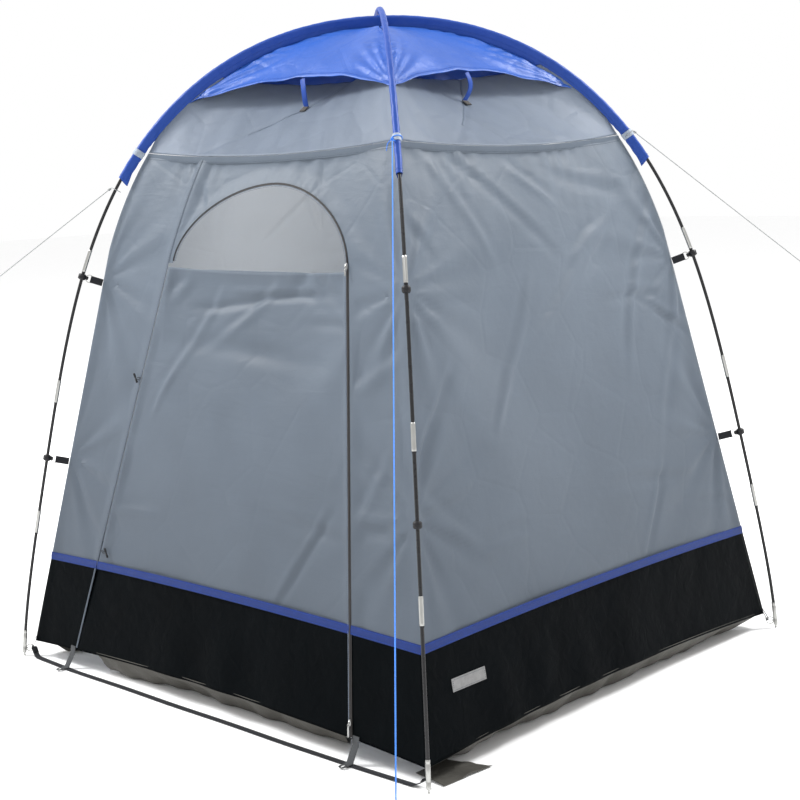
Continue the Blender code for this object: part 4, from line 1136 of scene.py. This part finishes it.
# ---- vent struts with their hook-and-loop seats
def strut(face, turn):
    r, _ = inset(s_at_inset(Z_HEM, CANOPY_INSET), CANOPY_INSET)
    top = Vector((0, -(r / ROOT2 - CANOPY_SAG - 2.5 * SKIN), Z_HEM - 0.0045))
    (low_h, low_z), (high_h, high_z) = panel_mid(0), panel_mid(1)
    slope = Vector((0, low_h - high_h, high_z - low_z)).normalized()
    mid_h, mid_z = panel_mid(STRUT_SEAT)
    base = Vector((0, -mid_h, mid_z)) + Vector((0, -slope.z, slope.y)) * (SKIN + GAP + 0.0022)
    path = [top]
    for k in range(1, 15):
        bow = math.sin(math.pi * k / 15)
        path.append(top.lerp(base, k / 15) + Vector((0.010, -0.012, 0)) * bow)
    path += [base, base - slope * 0.011, base - slope * 0.022]
    strap = joined(f"vent_strut_{face}_strap",
        turned_parts([ribbon_parts(path, (1, 0, 0), 0.0205, 0.0020, 0.0003)], turn))
    finished(strap, f"strut_{face}", "sleeve_blue", f"vent_strut_{face}", mats=(SHADED_SLEEVE_BLUE,))
    seat = ribbon_parts([base + slope * 0.002, base - slope * 0.010, base - slope * 0.023], (1, 0, 0),
        0.0225, 0.0032)
    finished(joined(f"vent_strut_{face}_seat", turned_parts([seat], turn)), f"strut_{face}",
        "sleeve_blue", mats=(VELCRO,))


for face, turn in FACES.items():
    strut(face, turn)


# ---- poles: rods, and the ferrules that join them
def pole_pieces(name, corner, lifted):
    out_dir = corner_out(corner)

    def spot(s, sign):
        r, z = pole_point(s, lifted)
        return out_dir * r * sign + UP * z

    stations = list(np.linspace(CAP_TOP + GAP, HALF_POLE, 150))
    path = [spot(s, 1) for s in stations] + [spot(s, -1) for s in stations[:-1][::-1]]
    finished(joined(f"{name}_rods", [tube_parts(path, POLE_D / 2, 16)]), "tent", "glassfibre", name,
        mats=(ROD,))
    starts = [FIRST_FERRULE + k * SECTION for k in range(9)]
    starts = [s for s in starts if s + FERRULE_LEN < SLEEVE_END - 0.05]
    parts, collars = [], []
    for sign in (1, -1):
        for low in starts:
            spots = [low, low + 0.0012, *np.linspace(low + 0.006, low + FERRULE_LEN - 0.006, 6)]
            spots += [low + FERRULE_LEN - 0.0012, low + FERRULE_LEN]
            radii = [0.0058] + [FERRULE_D / 2] * 8 + [0.0058]
            parts.append(tube_parts([spot(s, sign) for s in spots], radii, 18))
            middle = low + 0.002
            collars.append(tube_parts([spot(s, sign) for s in (middle - 0.008, middle - 0.0062,
                            middle - 0.0022)],
                                      [0.0054, 0.0060, 0.0060], 16))
    finished(joined(f"{name}_ferrules", parts), "tent", "steel", mats=(STEEL,))
    finished(joined(f"{name}_collars", collars), "tent", "glassfibre", mats=(PLASTIC,))


pole_pieces("pole_front_back", "front", True)
pole_pieces("pole_left_right", "right", False)


# ---- feet: a crimped steel cap, its pin, and the ring that the walls are tied to
def foot(corner):
    out = corner_out(corner)

    def spot(s):
        r, z = pole_point(s)
        return out * r + UP * z

    low, top = spot(0.010), spot(CAP_TOP)
    axis = (top - low).normalized()
    length = (top - low).length
    radius = FERRULE_D / 2
    profile = [(0, radius * 0.72), (0.0012, radius * 0.96), (0.004, radius), (0.020, radius),
        (0.0205, radius * 0.93)]
    profile += [(0.0225, radius * 0.93), (0.023, radius), (length - 0.012, radius),
        (length - 0.0115, radius * 0.93)]
    profile += [(length - 0.0095, radius * 0.93), (length - 0.009, radius), (length - 0.0008, radius),
        (length, radius * 0.9)]
    cap = lathe_parts(low, axis, profile, 28)
    pin = lathe_parts(spot(0.012) - UP * 0.0120, UP, [(0, 0.0016), (0.0008, 0.0030), (0.0030, 0.0034),
            (0.0046, 0.0030),
                                                     (0.0058, 0.0022), (0.0105, 0.0022)], 18)
    centre = spot(0.026) - out * (radius + 0.0115 - 0.0003)
    ring = torus_parts(centre, out.cross(UP), 0.0115, 0.0015, 40, 12)
    lug = torus_parts(centre + out * 0.0110, axis, 0.0042, 0.0012, 20, 8)
    finished(joined(f"foot_{corner}_steel", [cap, pin, ring, lug]), "tent", "steel", f"foot_{corner}",
        mats=(STEEL,))
    return centre - out * 0.0115


RING_INNER = {}
for corner in CORNERS:
    RING_INNER[corner] = foot(corner)
    out = corner_out(corner)
    side = Vector((-out.y, out.x, 0))
    top = Z_FOOT + 0.014
    high = out * (wall_half(top) * ROOT2 + 0.0006) + UP * top
    loop = [high, RING_INNER[corner] + out * 0.0032 + UP * 0.0115,
        RING_INNER[corner] + UP * 0.0032 + out * 0.0045,
            RING_INNER[corner] - out * 0.0018 + UP * 0.001, RING_INNER[corner] - out * 0.0022 + UP * 0.010,
            high - out * 0.0030 - UP * 0.004]
    tab = joined(f"corner_tie_{corner}", [ribbon_parts(loop, tuple(side), 0.0118, 0.0013)])
    finished(tab, "tent", "webbing", mats=(GREY_WEB if corner in ("left", "front") else WEB,))


# ---- pole clips
def clip(name, corner, s):
    out = corner_out(corner)
    (r, z), (across, rise) = pole_point(s), pole_lean(s)
    along, inward = out * across + UP * rise, UP * across - out * rise
    side = along.cross(inward).normalized()
    centre = out * r + UP * z
    shell = [(-0.0100, 0.0072), (-0.0096, 0.0092), (-0.0075, 0.0114), (-0.0045, 0.0124), (-0.0008, 0.0125)]
    shell += [(-0.0006, 0.0119), (0.0006, 0.0119), (0.0008, 0.0125), (0.0045, 0.0124), (0.0075, 0.0114)]
    shell += [(0.0096, 0.0092), (0.0100, 0.0072)]
    body = lathe_parts(centre, along, shell, 28)
    horn = block_parts(centre + inward * 0.0155, inward * 0.0045, side * 0.0030, along * 0.0055)
    lip = block_parts(centre - inward * 0.0120 + side * 0.001, inward * 0.0014, side * 0.0022, along * 0.0080)
    finished(joined(f"{name}_snap", [body, horn, lip]), "tent", "black_plastic", name, mats=(PLASTIC,))
    ring_at = 0.0245
    bar = []
    for k in range(33):
        turn = 2 * math.pi * k / 32
        flat = max(-0.55, math.cos(turn)) * 0.0125
        bar.append(centre + inward * (ring_at - flat) + along * math.sin(turn) * 0.0125)
    finished(joined(f"{name}_ring", [tube_parts(bar[:-1] + [bar[0]], 0.0014, 12)]), "tent", "steel",
        mats=(STEEL,))
    reach = 0.03
    for _ in range(20):
        spot = centre + inward * reach
        reach += (spot.xy.length - wall_half(spot.z) * ROOT2) * 0.8
    ends = [centre + inward * a for a in np.linspace(ring_at + 0.0050, reach - 0.0016, 6)]
    strap = [ribbon_parts([p + side * 0.0011 for p in ends], tuple(along), 0.0230, 0.0012),
             ribbon_parts([p - side * 0.0011 for p in ends], tuple(along), 0.0230, 0.0012)]
    roll = [ends[0] + (inward * -math.cos(a) + side * math.sin(a)) * 0.0016 + inward * 0.0004
        for a in np.linspace(-1.6, 1.6, 9)]
    strap.append(ribbon_parts(roll, tuple(along), 0.0230, 0.0011))
    finished(joined(f"{name}_web", strap), "tent", "webbing", mats=(WEB,))


for corner in CORNERS:
    clip(f"clip_{corner}_low", corner, CLIP_LOW)
    clip(f"clip_{corner}_high", corner, CLIP_HIGH)


# ---- zip: tape, coil and its stitching, up the side of the door and over the arch
def zip_pieces():
    foot_z = skirt_edge(0.7) + 0.004
    spots = [(zip_x(z), z) for z in np.linspace(foot_z, Z_FOLD, 40)] + arch(0.0, 72)[1:-2]
    path, across, normals = [], [], []
    base = 0.0007 - SKIN / 2
    for x, z in spots:
        path.append(on_wall(x, z, base))
        normals.append(wall_out(z))
    for k in range(len(path)):
        along = path[min(k + 1, len(path) - 1)] - path[max(k - 1, 0)]
        across.append(along.normalized().cross(normals[k]))
    widths = [0.0100 if k < 40 else 0.0060 for k in range(len(path))]
    tape = joined("zip_tape_band", [ribbon_parts(path, across, widths, 0.0016)])
    finished(tape, "tent", "zip_tape", "zip_tape", mats=(TAPE,))
    side = 45
    coil = [p + n * 0.0012 for p, n in zip(path[:side], normals)]
    finished(joined("zip_coil", [ribbon_parts(coil, across[:side], 0.0046, 0.0018, 0.0004)]), "tent",
        "zip_tape", mats=(PLASTIC,))
    open_coil = [p + n * 0.0010 + a * 0.0022 for p, n, a in zip(path[side - 1:], normals[side - 1:],
            across[side - 1:])]
    finished(joined("zip_coil_open", [ribbon_parts(open_coil, across[side - 1:], 0.0024, 0.0016)]),
        "tent", "zip_tape", mats=(PLASTIC,))
    teeth = []
    reach, pitch = 0.0, 0.0030
    points = [Vector(p) for p in coil]
    for a, b, n, w in zip(points, points[1:], normals, across):
        run = (b - a).length
        direction = (b - a) / run
        while reach < run:
            here = a + direction * reach + n * 0.0008
            teeth.append(block_parts(here, w * 0.0019, direction * 0.00075, n * 0.0006))
            reach += pitch
        reach -= run
    finished(joined("zip_teeth", teeth), "tent", "zip_tape", mats=(TAPE,))
    edge = [p - a * 0.0085 + n * 0.0006 for p, n, a in zip(path, normals, across)]
    threads = stitch_parts(edge, normals, wide=0.0009)
    finished(joined("zip_stitches", threads), "tent", "wall_grey", mats=(THREAD,))
    rim = [p - a * (0.0066 if k < 40 else 0.0046) + n * 0.0008 for k,
        (p, n, a) in enumerate(zip(path, normals, across))]
    finished(joined("zip_rim", [tube_parts(rim, 0.0010, 8)]), "tent", "wall_grey", mats=(LIGHT,))


zip_pieces()


def slider_pieces(name, z, pull_len):
    out = wall_out(z)
    slope = (wall_half(z + 0.01) - wall_half(z - 0.01)) / 0.02
    along = Vector((zip_x(z + 0.5) - zip_x(z - 0.5), -slope, 1)).normalized()
    side = along.cross(out).normalized()
    body = Vector((zip_x(z), -wall_half(z), z)) + out * (0.0007 - SKIN / 2 + ZIP_T / 2 + GAP + 0.0022)
    up = 1 if name.endswith("upper") else -1
    shape = []
    for share, wide in ((-1, 0.55), (-0.8, 0.80), (-0.2, 0.98), (0.35, 1.0), (0.8, 0.86), (1, 0.60)):
        ring = []
        for x, y in ((1, -0.6), (1, 0.5), (0.72, 1), (-0.72, 1), (-1, 0.5), (-1, -0.6), (-0.8, -1),
                (0.8, -1)):
            ring.append(body + along * share * up * 0.0088 + side * x * wide * 0.0044 + out * y * 0.0020)
        shape.append(ring)
    pivot = body + out * 0.0034 - along * 0.002
    bridge = []
    for angle in np.linspace(0, math.pi, 9):
        bridge.append(body + along * math.cos(angle) * 0.0062 + out * (0.0012 + math.sin(angle) * 0.0034))
    parts = [sweep("", shape), ribbon_parts(bridge, tuple(side), 0.0026, 0.0011)]
    finished(joined(name + "_body", parts), name, "zip_silver", name, mats=(SILVER,))
    top = pivot + out * 0.0022 - along * 0.001
    ring = torus_parts(top - along * 0.0032 + out * 0.0010, out, 0.0034, 0.0008, 22, 8, 0.72,
        flat=tuple(along))
    tail = top - along * 0.0060 + out * 0.0006
    widths = [0.0036, 0.0052, 0.0056, 0.0056, 0.0050, 0.0028]
    spots = [tail - along * (pull_len - 0.007) * share for share in (0, 0.12, 0.3, 0.7, 0.92, 1.0)]
    blade = ribbon_parts(spots, tuple(side), widths, 0.0013)
    eye = torus_parts(spots[-2] + along * 0.002, out, 0.0018, 0.0006, 18, 8)
    finished(joined(name + "_pull_tab", [ring, blade, eye]), "pull_" + name.split("_")[1],
        "zip_silver", name + "_pull", mats=(SILVER,))


slider_pieces("slider_upper", Z_FOLD + 0.015, 0.026)
slider_pieces("slider_lower", Z_FOOT + 0.055, 0.036)


# ---- ground flaps: thin cloth that falls inwards from the skirts and crumples on the ground
def ground_cloth(name, x_low, x_high, reach, turn, flat, body, seed, node):
    across = round(130 * DENSITY)

    def point(u, v):
        x = x_low + (x_high - x_low) * u
        edge = skirt_edge(max(-1, min(1, x / wall_half(Z_FOOT))))
        half = wall_half(edge)
        w = 1 - v
        if w < 0.6:
            share = w / 0.6
            back, z = 0.0020 + (reach(x) - 0.0020) * share, (edge + 0.004) * (1 - share) ** 1.15 + 0.0030
        else:
            share = (w - 0.6) / 0.4
            back, z = reach(x) + flat * share, 0.0030
        ripple = math.sin(x * 23 + 2 * math.sin(x * 7 + seed)) + 0.5 * math.sin(x * 57 + seed)
        lift = 0.0038 * (ripple + 1.5) * float(smoothstep(w / 0.3)) * (0.5
            + 0.5 * math.sin(w * 8 + x * 5 + seed))
        shrink = (half - back - 0.004) / half
        return turned(Vector((x * shrink, -(half - back) + 0.004 * ripple * float(smoothstep(w / 0.3)),
                    max(z, 0.0030) + max(lift, 0))), turn)

    cloth, area = grid_cloth(name + "_cloth", point, across, 16, (OLIVE, OLIVE), 0.0008)
    finished(cloth, body, "flap_olive", node)


FLAP_X = wall_half(Z_FOOT) - 0.012
for index, face in enumerate(("right", "back", "left")):
    ground_cloth(f"ground_flap_{face}", -FLAP_X, FLAP_X, lambda x: 0.070, FACES[face], 0.06, "tent",
        index, f"ground_flap_{face}")
ground_cloth("ground_flap_door", seam_x(Z_FOOT) + 0.100, zip_x(Z_FOOT) - 0.030,
             lambda x: 0.030 + 0.045 * min(1, (x - seam_x(Z_FOOT)) / 0.5), 0, 0.030, "door", 5,
             "ground_flap_door")

# the corner of the right flap that has slipped out under the skirt
corner_x = wall_half(Z_FOOT)
TONGUE = [(-0.085, 0.050), (0.030, 0.030), (0.042, 0.215), (-0.085, 0.170)]


def tongue_point(u, v):
    a, b, c, d = [Vector((corner_x + x, y - corner_x, 0)) for x, y in TONGUE]
    spot = a.lerp(b, u).lerp(d.lerp(c, u), v)
    lift = 0.0022 + 0.004 * max(0, math.sin(v * 9 + u * 3)) * u + 0.003 * max(0, math.sin(u * 11 - v * 4)) * v
    return spot + UP * lift


tongue, area = grid_cloth("ground_flap_corner_cloth", tongue_point, 26, 34, (OLIVE, OLIVE), 0.0008)
finished(tongue, "tent", "flap_olive")


# ---- threshold strap and the two ties
def threshold():
    left, right = RING_INNER["left"], RING_INNER["front"]
    end = Vector((0.0055, 0, 0))
    path = [left + end, Vector((left.x + 0.020, left.y - 0.004, 0.012)),
        Vector((left.x + 0.040, left.y - 0.010, 0.0034))]
    run = (left.x + 0.040) * 0.75
    for k in range(41):
        x = run * (1 - k / 20)
        path.append(Vector((x, -HALF_DIAGONAL / ROOT2 + 0.004 + 0.0012 * math.sin(x * 13), 0.0024)))
    path += [Vector((right.x - 0.040, right.y - 0.010, 0.0034)),
        Vector((right.x - 0.020, right.y - 0.004, 0.012)), right - end]
    parts = [ribbon_parts(path, (0, 1, 0), 0.020, 0.0015)]
    for tip, sign in ((left, 1), (right, -1)):
        base = tip + Vector((0.0060 * sign, 0, 0))
        loop = [base + Vector((0.012 * sign, -0.002, -0.0095)), base + Vector((0.004 * sign, 0, 0.0010)),
                base + Vector((-0.0035 * sign, 0, 0.0032)), base + Vector((-0.0050 * sign, 0, -0.0010)),
                base + Vector((0.0010 * sign, 0, -0.0045)), base + Vector((0.014 * sign, -0.002, -0.0125))]
        parts.append(ribbon_parts(loop, (0, 1, 0), 0.0185, 0.0012))
    finished(joined("threshold_webbing", parts), "tent", "webbing", "threshold_strap", mats=(WEB,))


threshold()
WEB_W = 0.024


def ground_tie(name, left, lean):
    x, front = left + WEB_W / 2, -wall_half(Z_FOOT) - 0.0016
    strap_y = -HALF_DIAGONAL / ROOT2 + 0.004
    top = skirt_edge(x / wall_half(Z_FOOT)) + 0.012
    end = Vector((x + lean * 1.2, strap_y - 0.024, 0.0054))
    path = [Vector((x, -wall_half(top) - 0.0016, top)), Vector((x, front, Z_FOOT)),
        Vector((x + lean * 0.5, (front + strap_y) / 2, 0.026)),
            Vector((x + lean * 0.9, strap_y + 0.004, 0.0085)),
            Vector((x + lean, strap_y - 0.002, 0.0056)), end + Vector((0, 0.010, 0))]
    web = ribbon_parts(path, (1, 0, 0), [WEB_W] * 5 + [WEB_W * 0.94], 0.0015)
    disc = torus_parts(end, UP, 0.0090, 0.0030, 28, 8)
    disc = ([Vector((p.x, p.y, end.z + (p.z - end.z) * 0.32)) for p in disc[0]], disc[1])
    finished(joined(f"{name}_web", [web, disc]), "tent", "webbing", name, mats=(GREY_WEB,))
    eye = torus_parts(end, UP, 0.0052, 0.0010, 26, 10)
    finished(joined(f"{name}_eyelet", [eye]), "tent", "zip_silver", mats=(SILVER,))


ground_tie("ground_tie_seam", seam_x(Z_FOOT) - SEAM_GAP - 0.002 - WEB_W, -0.010)
ground_tie("ground_tie_zip", zip_x(Z_FOOT) + ZIP_W / 2 + 2 * GAP, -0.004)


# ---- trim: toggles with their loops, the plain patch, the side tab
def toggle(name, x, z, body):
    a, b = [on_wall(x + k * 0.010, z - k * 0.014, 0.0062) for k in (-1, 1)]
    axis = (b - a).normalized()
    length = (b - a).length
    shape = [(0, 0.0014), (0.0008, 0.0028), (0.003, 0.0034), (length * 0.42, 0.0031), (length * 0.45, 0.0024),
             (length * 0.55, 0.0024), (length * 0.58, 0.0031), (length - 0.003, 0.0034),
             (length - 0.0008, 0.0028), (length, 0.0014)]
    finished(joined(name + "_bar", [lathe_parts(a, axis, shape, 18)]), body, "black_plastic", name,
        mats=(PLASTIC,))
    middle = (a + b) / 2
    seam = on_wall(seam_x(z) + (0.004 if body == "door" else -0.004), z, 0.001)
    loop = [seam, seam.lerp(middle, 0.5) - UP * 0.004, middle - UP * 0.001,
        seam.lerp(middle, 0.5) + UP * 0.003, seam + UP * 0.003]
    finished(joined(name + "_loop", [tube_parts(loop, 0.0009, 8)]), body, "black_plastic", mats=(WEB,))


toggle("toggle_upper", seam_x(0.955) - 0.024, 0.955, "tent")
toggle("toggle_lower", seam_x(0.393) + 0.036, 0.393, "door")

left = -wall_half(Z_FOOT) + 0.144
rings = []
for k in range(17):
    x = left + 0.140 * k / 16
    rings.append([on_wall(x, STRIPE_AT + z, off) for z, off in ((-0.140, 0.0002), (-0.1395, 0.0016),
                (-0.1225, 0.0021),
                                                                (-0.1055, 0.0016), (-0.105, 0.0002),
                                                                (-0.1225, -0.0006))])
patch = joined("patch_plain_weave", turned_parts([sweep("", rings)], FACES["right"]))
finished(patch, "tent", "patch_grey", "patch_plain", mats=(PATCH,))
threads = []
loop = [(left + 0.004, -0.136), (left + 0.136, -0.136), (left + 0.136, -0.109), (left + 0.004, -0.109),
    (left + 0.004, -0.136)]
for (x0, z0), (x1, z1) in zip(loop, loop[1:]):
    run = [on_wall(x0 + (x1 - x0) * k / 8, STRIPE_AT + z0 + (z1 - z0) * k / 8, 0.0021) for k in range(9)]
    threads += stitch_parts(run, [wall_out(0.22)] * 9)
finished(joined("patch_stitches", turned_parts(threads, FACES["right"])), "tent", "patch_grey",
    mats=(THREAD,))

tab_z = STRIPE_AT + 0.130
half = wall_half(tab_z)
loop = [Vector((-half - x, y, z)) for x, y, z in ((-0.001, 0, 0.0012), (0.014, 0, 0.0016),
        (0.0205, 0, 0.0014), (0.0215, 0, 0),
                                                (0.0205, 0, -0.0014), (0.014, 0, -0.0016),
                                                (-0.001, 0, -0.0012))]
loop = [p + Vector((0, 0.030 - half, tab_z)) for p in loop]
finished(joined("side_tab", [ribbon_parts(loop, (0, 1, 0), 0.028, 0.0010)]), "tent", "webbing", mats=(LIGHT,))


# ---- guy lines with their knots
def guy(corner, s, mat, slot):
    points = guy_route(corner, s)
    curve = bpy.data.curves.new(f"guy_{corner}_cord", "CURVE")
    curve.dimensions, curve.bevel_depth, curve.bevel_resolution, curve.use_fill_caps = "3D", GUY_D / 2, 4, True
    spline = curve.splines.new("POLY")
    spline.points.add(len(points) - 1)
    for spot, point in zip(spline.points, points):
        spot.co = (*point, 1)
    curve.materials.append(mat)
    line = bpy.data.objects.new(f"guy_{corner}_cord", curve)
    bpy.context.scene.collection.objects.link(line)
    finished(line, "tent", slot, f"guy_line_{corner}")
    length = sum((b - a).length for a, b in zip(points, points[1:]))
    along = (points[1] - points[0]).normalized()
    side = along.cross(UP).normalized()
    knots = []
    for at, size in ((points[12] - along * 0.004, 1.0), (points[0] + along * 0.010, 1.15)):
        coils = []
        for k in range(37):
            angle = 4 * math.pi * k / 36
            radius = (GUY_D * 0.98) * size
            coils.append(at + along * (k / 36 - 0.5) * 0.0085 * size
                + (side * math.cos(angle) + along.cross(side) * math.sin(angle)) * radius)
        knots.append(tube_parts(coils, GUY_D * 0.46, 10))
    knot = joined(f"guy_{corner}_knots", knots)
    finished(knot, "tent", slot, mats=(mat,))
    out = corner_out(corner)
    across = Vector((-out.y, out.x, 0))
    lifted = corner in ("front", "back")
    (r, z), (run, up) = pole_point(s, lifted), pole_lean(s, lifted)
    centre, outward, pole_along = out * r + UP * z, out * up - UP * run, out * run + UP * up
    noose = []
    for k in range(25):
        angle = 2 * math.pi * k / 24
        c = math.cos(angle)
        radius = SLEEVE_BORE / 2 + BAND_WALL + GUY_D / 2 + 0.0007
        back = max(0, -c)
        spot = centre + outward * (radius * c
            - SLEEVE_FIN * back**2 * 0.2) + across * math.sin(angle) * radius
        noose.append(spot + pole_along * 0.0010 * math.sin(angle))
    parts = [tube_parts(noose, GUY_D * 0.45, 10)]
    if corner == "front":
        for sign, long in ((-1, 0.030), (1, 0.020)):
            start = points[0] + along * 0.012
            tail = [start, start + across * sign * 0.008 - UP * 0.004,
                start + across * sign * 0.014 - UP * (0.4 * long),
                    start + across * sign * 0.017 - UP * long]
            parts.append(tube_parts(tail, GUY_D * 0.42, 8))
    noose_obj = joined(f"guy_{corner}_noose", parts)
    finished(noose_obj, "tent", slot, mats=(mat,))
    tuple(points[0])


guy("left", SLEEVE_END - 0.016, CORD_GREY, "cord_grey")
guy("right", BAND_AT, CORD_GREY, "cord_grey")
guy("front", BAND_AT, CORD_BLUE, "cord_blue")


# ---- floor, background and lights
bpy.ops.mesh.primitive_plane_add(size=60, location=(0, 0, -0.0005))
floor = bpy.context.object
floor.name = "floor"
floor.data.materials.append(FLOOR)
bpy.context.scene.view_settings.view_transform = "Standard"
world = bpy.data.worlds.new("studio")
bpy.context.scene.world = world
world.use_nodes = True
world.node_tree.nodes["Background"].inputs["Color"].default_value = (1, 1, 1, 1)
world.node_tree.nodes["Background"].inputs["Strength"].default_value = 1.0


def area_light(name, size, place, target, power):
    data = bpy.data.lights.new(name, "AREA")
    data.shape, data.size, data.energy = "SQUARE", size, power
    lamp = bpy.data.objects.new(name, data)
    bpy.context.scene.collection.objects.link(lamp)
    lamp.location = place
    lamp.rotation_mode = "QUATERNION"
    lamp.rotation_quaternion = (Vector(place) - Vector(target)).to_track_quat("Z", "Y")


area_light("key", 2.4, (-6.2, -3.9, 7.2), (0, 0, 1.0), 1020)
area_light("side", 1.6, (2.8, 4.0, 5.2), (0, 0, 1.0), 400)
area_light("front", 2.5, (2.5, -5.5, 6.5), (0, 0, 1.0), 60)
area_light("inside", 0.5, (0.1, -0.25, 1.45), (-0.35, 0.8, 0.9), 7)
